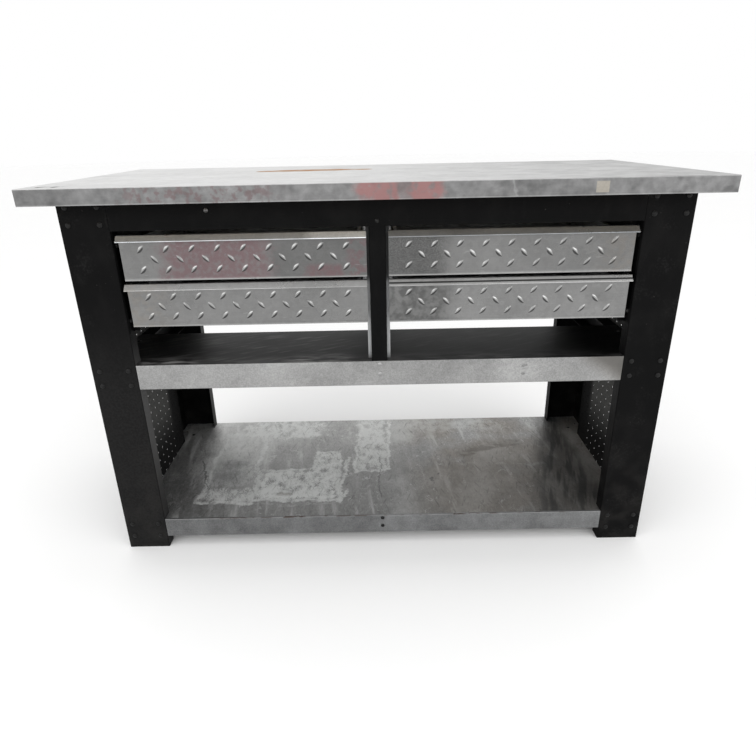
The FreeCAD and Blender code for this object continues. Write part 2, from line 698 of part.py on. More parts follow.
def make_carrier(side):
    """Sheet that carries the outer slides, stepped out to the legs at both ends."""
    height = (housing_bottom, housing_top)
    step_y = base_y - leg_flange + carrier_lap_gap
    lap_y = rail_end_y - carrier_lap_gap
    face = side * carrier_x
    lap = side * leg_inner_x
    pieces = [block((face, face + side * housing_sheet), (-step_y, step_y), height)]
    for end in (FRONT, REAR):
        pieces.append(block((face, lap), (end * step_y, end * (step_y - housing_sheet)), height))
        pieces.append(block((lap - side * housing_sheet, lap), (end * (step_y - housing_sheet), end * lap_y), height))
    carrier = merged(pieces)
    for end in (FRONT, REAR):
        carrier = drilled(carrier, carrier_seats(side, end), shelf_bolt_dia, housing_sheet + leg_sheet)
    return drill_slide_walls(carrier)


def make_carrier_bolts():
    seats = [seat for side in (LEFT, RIGHT) for end in (FRONT, REAR) for seat in carrier_seats(side, end)]
    return fastened(bolt(shelf_bolt_dia, housing_sheet + leg_sheet), seats)


# Drawers, made about the middle of the front's lower edge and then moved to their places

drawer_places = {
    "upper_left": (LEFT, upper_z),
    "upper_right": (RIGHT, upper_z),
    "lower_left": (LEFT, lower_z),
    "lower_right": (RIGHT, lower_z),
}


def front_outline(x):
    """Section of a drawer front: kicked lower edge, face, ledge and sloping pull."""
    face_y = -base_y
    slope = math.atan2(pull_drop, pull_reach - pull_ledge)
    corner = front_sheet * math.tan(slope / 2)
    tip_y, tip_z = face_y - pull_reach, front_height - pull_drop
    points = [
        (face_y - kick_reach, 0),
        (face_y, kick_height),
        (face_y, front_height - front_sheet),
        (face_y - pull_ledge + corner, front_height - front_sheet),
        (tip_y + front_sheet * math.sin(slope), tip_z - front_sheet * math.cos(slope)),
        (tip_y, tip_z),
        (face_y - pull_ledge, front_height),
        (face_back_y, front_height),
        (face_back_y, kick_height),
        (face_back_y - kick_reach, 0),
    ]
    return [Vector(x, y, z) for y, z in points]


def tread_pad():
    """Raised pad with a rounded crown: a barrel along X that stands out of the sheet, whose face is at y = 0."""
    half_l, half_w = tread_length / 2, tread_width / 2
    waist = (half_w ** 2 + tread_height ** 2) / (2 * tread_height)
    bow = (half_l ** 2 + tread_height ** 2) / (2 * tread_height)
    end_x = half_l + tread_run
    end_r = waist - bow + math.sqrt(bow ** 2 - end_x ** 2)
    axis_ends = (Vector(-end_x, 0, 0), Vector(end_x, 0, 0))
    rims = (Vector(-end_x, -end_r, 0), Vector(end_x, -end_r, 0))
    outline = Part.Wire([
        Part.LineSegment(axis_ends[0], rims[0]).toShape(),
        Part.Arc(rims[0], Vector(0, -waist, 0), rims[1]).toShape(),
        Part.LineSegment(rims[1], axis_ends[1]).toShape(),
        Part.LineSegment(axis_ends[1], axis_ends[0]).toShape(),
    ])
    barrel = Part.Face(outline).revolve(Vector(0, 0, 0), Vector(1, 0, 0), 360)
    barrel.translate(Vector(0, waist - tread_height, 0))
    return barrel.common(block((-end_x, end_x), (-2 * tread_height, front_sheet / 2), (-waist, waist)))


def tread_pads():
    """Pads in rows that lean one way and then the other."""
    pad = tread_pad()
    pads = []
    for row in range(tread_rows):
        lean = 1 if row % 2 == 0 else -1
        shift = 0 if row % 2 == 0 else tread_pitch / 2
        z = tread_first_row + row * tread_row_gap
        for x in evenly(tread_margin - front_half + shift, front_half - tread_margin - shift, tread_pitch):
            copy = pad.copy()
            copy.Placement = Placement(Vector(x, -base_y, z), Rotation(Vector(0, 1, 0), -lean * tread_angle))
            pads.append(copy)
    return pads


def make_drawer_front():
    """Embossed front with its pull and the tabs that go inside the box."""
    width = Vector(2 * front_half, 0, 0)
    face = prism(front_outline(-front_half), width)
    hem_r = pull_hem_dia / 2
    slope = math.atan2(pull_drop, pull_reach - pull_ledge)
    hem_y = -base_y - pull_reach + front_sheet * math.sin(slope) / 2 + hem_r * math.cos(slope) / 2
    hem_z = front_height - pull_drop - front_sheet * math.cos(slope) / 2 + hem_r * math.sin(slope) / 2
    hem = Part.makeCylinder(hem_r, 2 * front_half, Vector(-front_half, hem_y, hem_z), Vector(1, 0, 0))
    tabs = []
    for wall in (LEFT, RIGHT):
        tab_x = wall * (box_half - box_sheet)
        tabs.append(block((tab_x, tab_x - wall * front_sheet), (face_back_y, face_back_y + front_tab),
                          (box_z0 + box_tab_gap, box_z1 - box_tab_gap)))
    front = merged([face, hem] + tabs + tread_pads())
    for wall in (LEFT, RIGHT):
        front = drilled(front, tab_rivet_seats(wall), rivet_dia, box_sheet + front_sheet)
    return front


def make_drawer_wall(wall):
    """Side of the tray with its upper and lower edges turned in, drilled for the front's tab and the runner."""
    outer, inner = wall * box_half, wall * (box_half - box_sheet)
    web = block((outer, inner), (face_back_y, slide_rear_y), (box_z0, box_z1))
    edges = [block((outer, wall * (box_half - box_hem)), (face_back_y, slide_rear_y - box_sheet), span)
             for span in ((box_z0, box_z0 + box_sheet), (box_z1 - box_sheet, box_z1))]
    side = drilled(merged([web] + edges), tab_rivet_seats(wall), rivet_dia, box_sheet + front_sheet)
    return drilled(side, runner_rivet_seats(wall), rivet_dia, slide_sheet + box_sheet)


def make_drawer_back():
    """Back of the tray between its sides, with turned-in edges that stop short of theirs."""
    half, rear = box_half - box_sheet, slide_rear_y
    web = block((-half, half), (rear - box_sheet, rear), (box_z0, box_z1))
    edge_half = box_half - box_hem
    edges = [block((-edge_half, edge_half), (rear - box_hem, rear), span)
             for span in ((box_z0, box_z0 + box_sheet), (box_z1 - box_sheet, box_z1))]
    return merged([web] + edges)


def make_drawer_box():
    """Tray of folded sides and a folded back, with a floor sheet welded on to their lower edges."""
    half = box_half - box_sheet
    floor = block((-half, half), (face_back_y, slide_rear_y - box_sheet),
                  (box_z0 + box_sheet, box_z0 + 2 * box_sheet))
    return [floor, make_drawer_wall(LEFT), make_drawer_wall(RIGHT), make_drawer_back()]


def slide_bar(wall, points, y0, y1):
    """Bar along Y from a section drawn as distance off the wall and height off the slide's middle."""
    corners = [Vector(wall * (slot_half - u), y0, slide_z + w) for u, w in points]
    return prism(corners, Vector(0, y1 - y0, 0))


def mirrored_section(upper):
    """Closed section from the points of its upper half, listed from the wall side."""
    return upper + [(u, -w) for u, w in reversed(upper)]


def make_slide_rails():
    """Fixed slide members, one on each wall, with flush rivet holes."""
    half = slide_height / 2
    section = [
        (slide_sheet, 0), (slide_sheet, half - slide_sheet), (rail_depth - slide_sheet, half - slide_sheet),
        (rail_depth - slide_sheet, half - slide_lip), (rail_depth, half - slide_lip), (rail_depth, half), (0, half),
        (0, -half), (rail_depth, -half), (rail_depth, slide_lip - half), (rail_depth - slide_sheet, slide_lip - half),
        (rail_depth - slide_sheet, slide_sheet - half), (slide_sheet, slide_sheet - half),
    ]
    rails = []
    for wall in (LEFT, RIGHT):
        rail = slide_bar(wall, section, slide_front_y, slide_rear_y)
        rails.append(rail.cut(fastened(sunk_head(hole_fit), wall_rivet_seats(wall))))
    return rails


def make_runners():
    """Moving slide members, one on each side of the box."""
    outer, inner = runner_half, runner_half - slide_sheet
    web = slide_thickness - slide_sheet
    section = mirrored_section([(web, inner), (runner_u0, inner), (runner_u0, outer), (slide_thickness, outer)])
    return [drilled(slide_bar(wall, section, slide_front_y, slide_rear_y), runner_rivet_seats(wall),
                    rivet_dia, slide_sheet + box_sheet) for wall in (LEFT, RIGHT)]


def make_ball_cages():
    """Ball retainers between the members: a bent strip with its balls, one for each slide."""
    near, far = slide_sheet + running_gap, rail_depth - slide_sheet - running_gap
    high, low = ball_w + cage_sheet / 2, ball_w - cage_sheet / 2
    section = mirrored_section([(near + cage_sheet, low), (far, low), (far, high), (near, high)])
    y0, y1 = cage_mid_y - slide_overlap / 2, cage_mid_y + slide_overlap / 2
    ball_u = rail_depth / 2
    cages = []
    for wall in (LEFT, RIGHT):
        strip = slide_bar(wall, section, y0, y1)
        balls = [Part.makeSphere(ball_dia / 2, Vector(wall * (slot_half - ball_u), y, slide_z + w))
                 for y in evenly(y0 + ball_dia, y1 - ball_dia, ball_pitch) for w in (-ball_w, ball_w)]
        cages.append(strip.multiFuse(balls))
    return cages


def make_drawer_rivets():
    rivets = []
    for wall in (LEFT, RIGHT):
        rivets += fastened(rivet(box_sheet + front_sheet), tab_rivet_seats(wall))
        rivets += fastened(rivet(slide_sheet + box_sheet), runner_rivet_seats(wall))
    return rivets


def make_slide_rivets():
    """Flush rivets of one drawer's fixed rails."""
    return [piece for wall in (LEFT, RIGHT)
            for piece in fastened(flush_rivet(slide_sheet + housing_sheet), wall_rivet_seats(wall))]


def moved(shapes, offset):
    """Copies of shapes shifted by an offset."""
    copies = [shape.copy() for shape in shapes]
    for copy in copies:
        copy.translate(offset)
    return copies


def all_nodes():
    """Every named piece with its solids."""
    sides = (("left", LEFT), ("right", RIGHT))
    ends = (("front", FRONT), ("rear", REAR))
    nodes = {
        "top_skin": [make_top_skin()],
        "top_core": [make_top_core()],
        "top_screws": make_top_screws(),
        "bottom_shelf": [make_shelf(bottom_shelf_z, bottom_lip, base_y, wing_y, bottom_lip_seats)],
        "bottom_shelf_stiffener": [make_stiffener(bottom_shelf_z, bottom_stiffener_z, base_y, bottom_lip_seats)],
        "middle_shelf": [make_middle_shelf()],
        "middle_shelf_stiffener": [make_middle_stiffener()],
        "shelf_bolts": make_shelf_bolts(),
        "front_centre_post": [make_post(FRONT, middle_shelf_z)],
        "rear_centre_post": [make_post(REAR, housing_bottom)],
        "centre_partition": [make_partition()],
        "partition_rivets": fastened(rivet(post_sheet + housing_sheet),
                                     partition_rivet_seats(FRONT) + partition_rivet_seats(REAR)),
        "carrier_bolts": make_carrier_bolts(),
        "apron_bolts": make_apron_bolts(),
        "side_panel_rivets": make_panel_rivets(),
    }
    leg_bolt = bolt(frame_bolt_dia, leg_sheet + rail_sheet)
    for end_name, end in ends:
        nodes[f"{end_name}_apron"] = [make_apron(end)]
        for side_name, side in sides:
            nodes[f"{end_name}_{side_name}_leg"] = [make_leg(side, end)]
            nodes[f"{end_name}_{side_name}_leg_bolts"] = fastened(leg_bolt, leg_bolt_seats(side, end))
    for side_name, side in sides:
        nodes[f"{side_name}_side_panel"] = [make_side_panel(side)]
        nodes[f"{side_name}_slide_carrier"] = [make_carrier(side)]
        for level in rail_tops:
            nodes[f"{side_name}_{level}_rail"] = [make_rail(side, level)]
    drawer_pieces = {
        "drawer_front": [make_drawer_front()],
        "drawer_box": make_drawer_box(),
        "drawer_rivets": make_drawer_rivets(),
        "drawer_runners": make_runners(),
        "ball_cages": make_ball_cages(),
        "slide_rails": make_slide_rails(),
    }
    slide_rivets = make_slide_rivets()
    nodes["slide_rivets"] = []
    for place, (side, z) in drawer_places.items():
        offset = Vector(side * drawer_x, 0, z)
        for piece, shapes in drawer_pieces.items():
            nodes[f"{place}_{piece}"] = moved(shapes, offset)
        nodes["slide_rivets"] += moved(slide_rivets, offset)
    return nodes


def main():
    os.makedirs("parts", exist_ok=True)
    for name, shapes in all_nodes().items():
        solids = [solid for shape in shapes for solid in shape.Solids]
        node = solids[0] if len(solids) == 1 else Part.Compound(solids)
        node.exportStep(os.path.join("parts", f"{name}.step"))
        sound = all(solid.isValid() for solid in solids)
        print(f"{name}: {len(solids)} solids, {sum(s.Volume for s in solids):.0f} mm3, valid {sound}")


main()
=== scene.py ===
import json
import math

import bmesh
import bpy
from mathutils import Matrix, Vector
from mathutils.geometry import delaunay_2d_cdt


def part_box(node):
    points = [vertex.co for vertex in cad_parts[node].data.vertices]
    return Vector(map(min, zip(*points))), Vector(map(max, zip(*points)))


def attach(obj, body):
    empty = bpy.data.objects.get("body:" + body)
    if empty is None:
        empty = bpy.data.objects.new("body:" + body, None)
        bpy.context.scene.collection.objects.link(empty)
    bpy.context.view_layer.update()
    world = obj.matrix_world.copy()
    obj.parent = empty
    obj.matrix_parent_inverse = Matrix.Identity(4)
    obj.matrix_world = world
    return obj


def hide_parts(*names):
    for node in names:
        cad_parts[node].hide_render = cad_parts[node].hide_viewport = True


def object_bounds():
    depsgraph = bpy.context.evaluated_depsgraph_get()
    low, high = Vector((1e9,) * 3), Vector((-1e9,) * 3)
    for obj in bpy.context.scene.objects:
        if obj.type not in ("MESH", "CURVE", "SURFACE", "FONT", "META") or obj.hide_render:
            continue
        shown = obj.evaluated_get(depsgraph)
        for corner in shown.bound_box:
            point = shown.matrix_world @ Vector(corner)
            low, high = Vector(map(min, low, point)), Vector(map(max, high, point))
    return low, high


# Finishes, drawer fronts, light and camera for the sheet-steel workbench. All sizes are in metres, in the
# frame of the CAD model: +X to the right, +Y to the back, +Z up, and the floor at z = 0.

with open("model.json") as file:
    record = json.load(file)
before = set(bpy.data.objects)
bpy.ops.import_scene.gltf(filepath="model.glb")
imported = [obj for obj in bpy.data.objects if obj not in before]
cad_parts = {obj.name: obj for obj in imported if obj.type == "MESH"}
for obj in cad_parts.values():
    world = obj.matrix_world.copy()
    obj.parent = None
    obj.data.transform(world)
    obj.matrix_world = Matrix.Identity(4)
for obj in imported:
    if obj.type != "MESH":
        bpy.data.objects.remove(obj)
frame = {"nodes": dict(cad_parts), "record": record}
cad_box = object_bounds()

# Places read from the frame

TOP_LOW, TOP_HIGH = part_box("top_skin")
SHELF_LOW, SHELF_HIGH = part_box("bottom_shelf")
HALF_SHELF_LOW, HALF_SHELF_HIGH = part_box("middle_shelf")
LEG_LOW, LEG_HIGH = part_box("front_left_leg")
LEG_INSIDE_X = -LEG_HIGH.x
PANEL_INSIDE_X = -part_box("left_side_panel")[1].x
FACE_Y = LEG_LOW.y
UPPER_FRONT_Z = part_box("upper_left_drawer_front")[0].z
LOWER_FRONT_TOP_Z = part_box("lower_left_drawer_front")[1].z
DRAWER_PLACES = ("upper_left", "upper_right", "lower_left", "lower_right")


class Signal:
    """One socket of a finish's nodes, for use in expressions: each operator adds a Math node."""

    def __init__(self, finish, socket):
        self.finish = finish
        self.socket = socket

    def math(self, operation, first, second=0.0):
        return self.finish.node("ShaderNodeMath", {"operation": operation}, {0: first, 1: second})

    def __add__(self, other):
        return self.math("ADD", self, other)

    def __radd__(self, other):
        return self.math("ADD", other, self)

    def __sub__(self, other):
        return self.math("SUBTRACT", self, other)

    def __rsub__(self, other):
        return self.math("SUBTRACT", other, self)

    def __mul__(self, other):
        return self.math("MULTIPLY", self, other)

    def __rmul__(self, other):
        return self.math("MULTIPLY", other, self)

    def __pow__(self, power):
        return self.math("POWER", self, power)

    def __abs__(self):
        return self.math("ABSOLUTE", self)

    def __or__(self, other):
        """The greater of two masks."""
        return self.math("MAXIMUM", self, other)

    def __and__(self, other):
        """The lesser of two masks."""
        return self.math("MINIMUM", self, other)

    def between(self, low, high):
        """Smooth step from 0 at low to 1 at high, or back where low is the greater."""
        return self.finish.node("ShaderNodeMapRange", {"interpolation_type": "SMOOTHSTEP"},
                                {"Value": self, "From Min": low, "From Max": high})

    def within(self, low, high, soft):
        """1 between two limits and 0 outside, with soft ends."""
        return self.between(low - soft, low + soft) * self.between(high + soft, high - soft)


class Finish:
    """A material: one surface shader and the nodes that feed it, laid out by place on the bench."""

    SHORTEST_RUN = 1e-6

    def __init__(self, name):
        self.material = bpy.data.materials.new(name)
        self.material.use_nodes = True
        self.tree = self.material.node_tree
        self.tree.nodes.clear()
        self.place = self.node("ShaderNodeTexCoord", output="Object")
        self.x, self.y, self.z = (
            self.node("ShaderNodeSeparateXYZ", None, {"Vector": self.place}, axis) for axis in "XYZ")

    def node(self, kind, settings=None, sockets=None, output=0):
        """Any node: its settings are set first, then the values or links of its sockets. Gives one output."""
        made = self.tree.nodes.new(kind)
        for name, value in (settings or {}).items():
            setattr(made, name, value)
        for key, value in (sockets or {}).items():
            if isinstance(value, Signal):
                self.tree.links.new(value.socket, made.inputs[key])
            else:
                made.inputs[key].default_value = value
        return Signal(self, made.outputs[output]) if made.outputs else None

    def mix(self, factor, first, second, blend="MIX"):
        """Two colours mixed by a factor."""
        return self.node("ShaderNodeMix", {"data_type": "RGBA", "blend_type": blend},
                         {0: factor, 6: first, 7: second}, 2)

    def tint(self, level, colour):
        """A brightness times a colour."""
        return self.mix(1.0, level, colour, "MULTIPLY")

    def noise(self, size, detail=3.0, stretch=(1.0, 1.0, 1.0), turn=0.0):
        """Random pattern about 0.5 with features of one size, drawn out along the axes and turned about Z."""
        place = self.node("ShaderNodeMapping", {"vector_type": "TEXTURE"},
                          {"Vector": self.place, "Rotation": (0.0, 0.0, turn), "Scale": stretch})
        return self.node("ShaderNodeTexNoise", None,
                         {"Vector": place, "Scale": 1 / size, "Detail": detail}, "Fac")

    def cells(self, size):
        """A random value for each crystal of a spangled coat."""
        crystal = self.node("ShaderNodeTexVoronoi", None, {"Vector": self.place, "Scale": 1 / size}, "Color")
        return self.node("ShaderNodeSeparateColor", None, {"Color": crystal}, "Red")

    def stroke(self, across, along, start, end, width):
        """Soft mark of a width between two points, seen in two directions of the bench."""
        run = (end[0] - start[0], end[1] - start[1])
        length = max(math.hypot(*run), self.SHORTEST_RUN)
        aside, ahead = across - start[0], along - start[1]
        share = ((aside * run[0] + ahead * run[1]) * (1 / length ** 2) | 0.0) & 1.0
        off = (aside - share * run[0]) ** 2.0 + (ahead - share * run[1]) ** 2.0
        return (off ** 0.5).between(width, 0.25 * width)

    def strokes(self, across, along, marks):
        """Every one of a list of marks, each given as its two ends and its width."""
        found = 0.0
        for start, end, width in marks:
            found = self.stroke(across, along, start, end, width) | found
        return found

    def bump(self, height, distance):
        """Normal of a relief whose height 1 stands for a distance."""
        return self.node("ShaderNodeBump", None, {"Distance": distance, "Height": height}, "Normal")

    def surface(self, sockets):
        """Ends the material with its shader."""
        shader = self.node("ShaderNodeBsdfPrincipled", None, sockets)
        self.node("ShaderNodeOutputMaterial", None, {"Surface": shader})
        return self.material


def grey(level, warmth=0.0):
    """A grey, warmer or cooler by a share of its level."""
    return (level * (1 + warmth), level, level * (1 - warmth), 1.0)


def outline(corners, width):
    """Line marks round a closed outline."""
    return tuple((start, end, width) for start, end in zip(corners, corners[1:] + corners[:1]))


# Each finish below comes after its own tones, colours and marks. A tone is the brightness of the bare metal
# or coat. A pair of places along an axis is the two ends of a patch, or of a soft change from 0 to 1. A line
# mark is its two ends, in two directions of the bench, and its width.

NEUTRAL = (1.0, 1.0, 1.0, 1.0)
COOL = (0.985, 1.0, 1.01, 1.0)
FINE_GRAIN = 0.0001

# Bare zinc

ZINC_TONE = 0.36
CRYSTAL = 0.011
ZINC_WAVE = 0.0012


def zinc_level(finish, crystal=CRYSTAL):
    """Brightness of bare zinc about 1: crystals, cloudy oxide and a fine roll grain along X."""
    cells = finish.cells(crystal)
    oxide = finish.noise(0.10, 5.0)
    grain = finish.noise(0.0011, 1.0, (28.0, 1.0, 1.0))
    return 0.70 + 0.10 * cells + 0.36 * oxide + 0.14 * grain


def zinc_relief(finish):
    """Height of slight waves in a rolled sheet, with a little grain."""
    return finish.noise(0.16, 1.0) + 0.02 * finish.noise(0.004, 2.0)


def plain_zinc():
    """Clean galvanised sheet of the drawer boxes and stiffeners, a little dulled by handling."""
    finish = Finish("plain_zinc")
    handling = finish.noise(0.016, 7.0, (3.0, 3.0, 1.0)).between(0.54, 0.72)
    level = ZINC_TONE * zinc_level(finish) * (1 - 0.12 * handling)
    return finish.surface({
        "Base Color": finish.tint(level, COOL),
        "Metallic": 0.9,
        "Roughness": 0.34 + 0.10 * finish.noise(0.03, 4.0) + 0.10 * handling,
        "Normal": finish.bump(zinc_relief(finish), ZINC_WAVE),
    })


PARTITION_SHADE = grey(0.018)
PARTITION_SHADE_Z = (0.722, 0.748)


def partition_zinc():
    """Partition beside the posts: plain zinc, with painted shade beside the upper drawers."""
    finish = Finish("partition_zinc")
    plain = finish.tint(ZINC_TONE * zinc_level(finish), COOL)
    # Painted shade: the mask below darkens the partition beside the upper drawers, where the rail above
    # shades it.
    grease = finish.z.between(*PARTITION_SHADE_Z) * finish.noise(0.03, 5.0).between(0.15, 0.35)
    return finish.surface({
        "Base Color": finish.mix(0.92 * grease, plain, PARTITION_SHADE),
        "Metallic": 0.9 - 0.4 * grease,
        "Roughness": 0.36 + 0.2 * finish.noise(0.03, 4.0),
        "Normal": finish.bump(zinc_relief(finish), ZINC_WAVE),
    })


# Bench top

TOP_TONE = 0.665
TOP_TINT = (1.0, 1.0, 0.993, 1.0)
TOP_CRYSTAL = 0.013
TOP_WAVE = 0.0014
TOP_WEAR_X = (-0.30, 0.70)
TOP_SCUFFS = (((0.225, 0.040), (0.225, -0.260), 0.070), ((0.256, 0.330), (0.325, 0.330), 0.045),
              ((0.350, 0.035), (0.386, 0.035), 0.040), ((0.690, -0.025), (0.690, -0.322), 0.060))
HOLE_GREASE = (((-0.715, -0.330), (-0.711, -0.306), 0.011), ((-0.681, -0.327), (-0.683, -0.312), 0.012))
HOLE_GRIME = (((-0.712, -0.322), (-0.684, -0.316), 0.036),)
GREASE = grey(0.045)
TOP_SPILL = (((-0.305, 0.100), (-0.225, 0.108), 0.042), ((-0.240, 0.106), (-0.125, 0.115), 0.060),
             ((-0.130, 0.118), (-0.035, 0.113), 0.036))
SPILL_ORANGE = (0.38, 0.19, 0.075, 1.0)

EDGE_TONE = 0.198
LOW_EDGE_HIGHLIGHT_TONE = 0.10
EDGE_PALE_END_X = (0.55, 0.68)
EDGE_PALE_MIDDLE_X = (-0.30, -0.06)
EDGE_DULL_END_X = (-0.40, -0.60)
FAINT_STAIN_X = (-0.53, -0.21)
FAINT_STAIN = (0.150, 0.100, 0.102, 1.0)
STRONG_STAIN_X = (-0.040, 0.136)
STAIN_BREAK_X = (0.050, 0.072)
STRONG_STAIN = (0.290, 0.150, 0.146, 1.0)
EDGE_GRIME = grey(0.080)
EDGE_RUNS = (((0.285, 0.957), (0.290, 0.940), 0.004), ((0.290, 0.940), (0.292, 0.922), 0.007))
RUN_WHITE = grey(0.32)
TAPE_X = (0.454, 0.481)
TAPE_Z = (0.9305, 0.9530)
TAPE_RIM = 0.0008
TAPE_BUFF = (0.34, 0.315, 0.27, 1.0)


def top_face(finish, level, cloud, wiped, wander):
    """Colour of the upper face and the mask of its spill: scrubbed bright, rubbed dull to the right."""
    x, y = finish.x, finish.y
    drawn = finish.noise(0.010, 7.0, (9.0, 1.0, 1.0), 0.06)
    rubbed = finish.noise(0.035, 7.0, (2.0, 1.3, 1.0), 0.5).between(0.40, 0.64)
    scuffed = finish.strokes(x + wander, y + 2.0 * wander, TOP_SCUFFS) * drawn.between(0.36, 0.60)
    worn = x.between(*TOP_WEAR_X) * (0.26 + 0.12 * drawn.between(0.40, 0.66) + 0.14 * rubbed)
    bright = TOP_TONE * level * (0.90 + 0.20 * cloud) * (1 - (worn | 0.34 * scuffed)) * (1 - 0.10 * wiped)
    colour = finish.tint(bright, TOP_TINT)
    dabbed = finish.noise(0.007, 5.0)
    grease = finish.strokes(x + 0.2 * wander, y + 0.6 * wander, HOLE_GREASE) * (0.5 + 0.7 * dabbed)
    grime = finish.strokes(x + wander, y + wander, HOLE_GRIME) * dabbed.between(0.40, 0.60)
    colour = finish.mix(0.95 * (grease | 0.35 * grime), colour, GREASE)
    ragged = finish.noise(0.040, 5.0, (1.8, 1.0, 1.0)) - 0.5
    patchy = finish.noise(0.020, 6.0, (2.0, 1.0, 1.0)).between(0.36, 0.56)
    spill = (2.0 * finish.strokes(x, y, TOP_SPILL) + 3.2 * ragged).between(0.5, 1.3)
    spill = spill * (0.62 + 0.38 * patchy)
    return finish.mix(0.95 * spill, colour, SPILL_ORANGE), spill


def top_edge(finish, level, wander):
    """Colour of the folded edge, and the masks of the stains and the bit of tape on its front."""
    x, y, z = finish.x, finish.y, finish.z
    front = y.between(TOP_LOW.y + 0.004, TOP_LOW.y + 0.002)
    mottle = finish.noise(0.020, 7.0)
    patchy = finish.noise(0.080, 6.0)
    along = 1 + 0.14 * x.between(*EDGE_PALE_END_X) + 0.12 * x.within(*EDGE_PALE_MIDDLE_X, 0.08)
    along = along - 0.08 * x.between(*EDGE_DULL_END_X)
    dull = EDGE_TONE * level * (0.12 + 0.90 * mottle + 0.84 * patchy) * along
    # Painted highlight: a lighter line along the lower fold of the front edge.
    low_highlight = z.between(TOP_LOW.z + 0.0030, TOP_LOW.z + 0.0012)
    colour = finish.tint(dull + LOW_EDGE_HIGHLIGHT_TONE * low_highlight, NEUTRAL)
    ragged = x + 0.05 * (finish.noise(0.03, 6.0) - 0.5)
    blotch = finish.noise(0.018, 8.0)
    faint = ragged.within(*FAINT_STAIN_X, 0.04) * blotch.between(0.48, 0.60)
    strong = ragged.within(*STRONG_STAIN_X, 0.010) * (1 - 0.8 * ragged.within(*STAIN_BREAK_X, 0.008))
    strong = strong * (0.40 + 0.60 * blotch.between(0.36, 0.50))
    colour = finish.mix(0.62 * front * faint, colour, FAINT_STAIN)
    colour = finish.mix(0.88 * front * strong, colour, STRONG_STAIN)
    grime = finish.noise(0.034, 7.0, (1.6, 1.0, 1.0)).between(0.54, 0.72)
    colour = finish.mix(0.42 * front * grime, colour, EDGE_GRIME)
    runs = finish.strokes(x + 0.5 * wander, z, EDGE_RUNS) * mottle.between(0.36, 0.54)
    colour = finish.mix(0.5 * front * runs, colour, RUN_WHITE)
    tape = front * x.within(*TAPE_X, TAPE_RIM) * z.within(*TAPE_Z, TAPE_RIM)
    tape_colour = finish.tint(0.80 + 0.4 * finish.noise(0.006, 4.0), TAPE_BUFF)
    return finish.mix(0.8 * tape, colour, tape_colour), front * (0.5 * faint | strong), tape


def worn_top():
    """Galvanised top, scrubbed bright above, with a duller, stained front edge."""
    finish = Finish("worn_top_zinc")
    level = zinc_level(finish, TOP_CRYSTAL)
    cloud = finish.noise(0.34, 5.0, (1.5, 1.0, 1.0))
    wiped = finish.noise(0.007, 6.0, (12.0, 1.0, 1.0), -0.5).between(0.54, 0.72)
    wander = 0.06 * (finish.noise(0.05, 5.0) - 0.5)
    above = finish.z.between(TOP_HIGH.z - 0.0018, TOP_HIGH.z - 0.0004)
    face_colour, spill = top_face(finish, level, cloud, wiped, wander)
    edge_colour, stain, tape = top_edge(finish, level, wander)
    spill = above * spill
    return finish.surface({
        "Base Color": finish.mix(above, edge_colour, face_colour),
        "Metallic": 0.92 - 0.80 * spill - 0.20 * stain - 0.4 * tape,
        "Roughness": 0.34 + 0.08 * cloud + 0.10 * wiped + 0.35 * spill + 0.08 * stain + 0.1 * tape,
        "Specular IOR Level": 0.25,
        "Normal": finish.bump(zinc_relief(finish) + 0.04 * tape, TOP_WAVE),
    })


# Bottom shelf

SHELF_TONE = 0.208
SHELF_TINT = (1.0, 1.0, 0.985, 1.0)
SHELF_CRYSTAL = 0.012
SHELF_WAVE = 0.0014
SHELF_REFLECTION_Y = (-0.16, 0.29)
SHELF_PALE_X = (-0.30, -0.52)
SHELF_BROWN_X = (0.02, 0.22)
SHELF_BROWN = (0.95, 0.86, 0.75, 1.0)
SHELF_LIP_TONE = 0.180

# Standing water dried on the shelf: spans along X and Y, softness of the rim and strength
DRIED_WATER = (((-0.368, -0.132), (-0.208, -0.052), 0.028, 0.98),
               ((-0.208, -0.128), (-0.070, 0.060), 0.028, 0.90),
               ((-0.522, -0.378), (-0.212, -0.135), 0.028, 0.85),
               ((-0.560, -0.400), (0.040, 0.200), 0.080, 0.50),
               ((-0.085, 0.022), (-0.058, 0.300), 0.028, 0.78),
               ((-0.480, -0.190), (0.150, 0.300), 0.060, 0.85),
               ((-0.560, -0.380), (-0.140, 0.060), 0.060, 0.45),
               ((0.060, 0.420), (0.190, 0.300), 0.080, 0.45))
TRAY_RIM = ((-0.525, -0.212), (-0.376, -0.219), (-0.393, 0.205), (-0.526, 0.197))
TIN_RIM = ((-0.372, -0.205), (-0.124, -0.213), (-0.135, 0.064), (-0.205, 0.055), (-0.213, -0.046),
           (-0.372, -0.050))
WATER_RUNS = (((-0.085, -0.060), (0.022, -0.053), 0.011), ((-0.085, -0.060), (-0.066, 0.275), 0.009),
              ((0.018, -0.050), (0.032, 0.286), 0.009), ((-0.120, -0.200), (-0.105, 0.020), 0.009),
              ((-0.526, 0.176), (-0.415, 0.209), 0.012), ((-0.367, 0.196), (-0.207, 0.184), 0.012),
              ((-0.126, -0.222), (-0.100, -0.170), 0.010))
WATER_EDGES = outline(TRAY_RIM, 0.014) + outline(TIN_RIM, 0.012) + WATER_RUNS
FAINT_RUNS = (((0.253, -0.030), (0.505, -0.035), 0.012), ((0.358, -0.268), (0.519, -0.272), 0.016),
              ((-0.372, -0.228), (-0.140, -0.232), 0.008))
LIME_WHITE = (0.57, 0.58, 0.57, 1.0)
TRAY_WIPED_X = (-0.505, -0.425)
TRAY_WIPED_Y = (-0.110, 0.020)
WIPED_GREY = grey(0.075, -0.03)

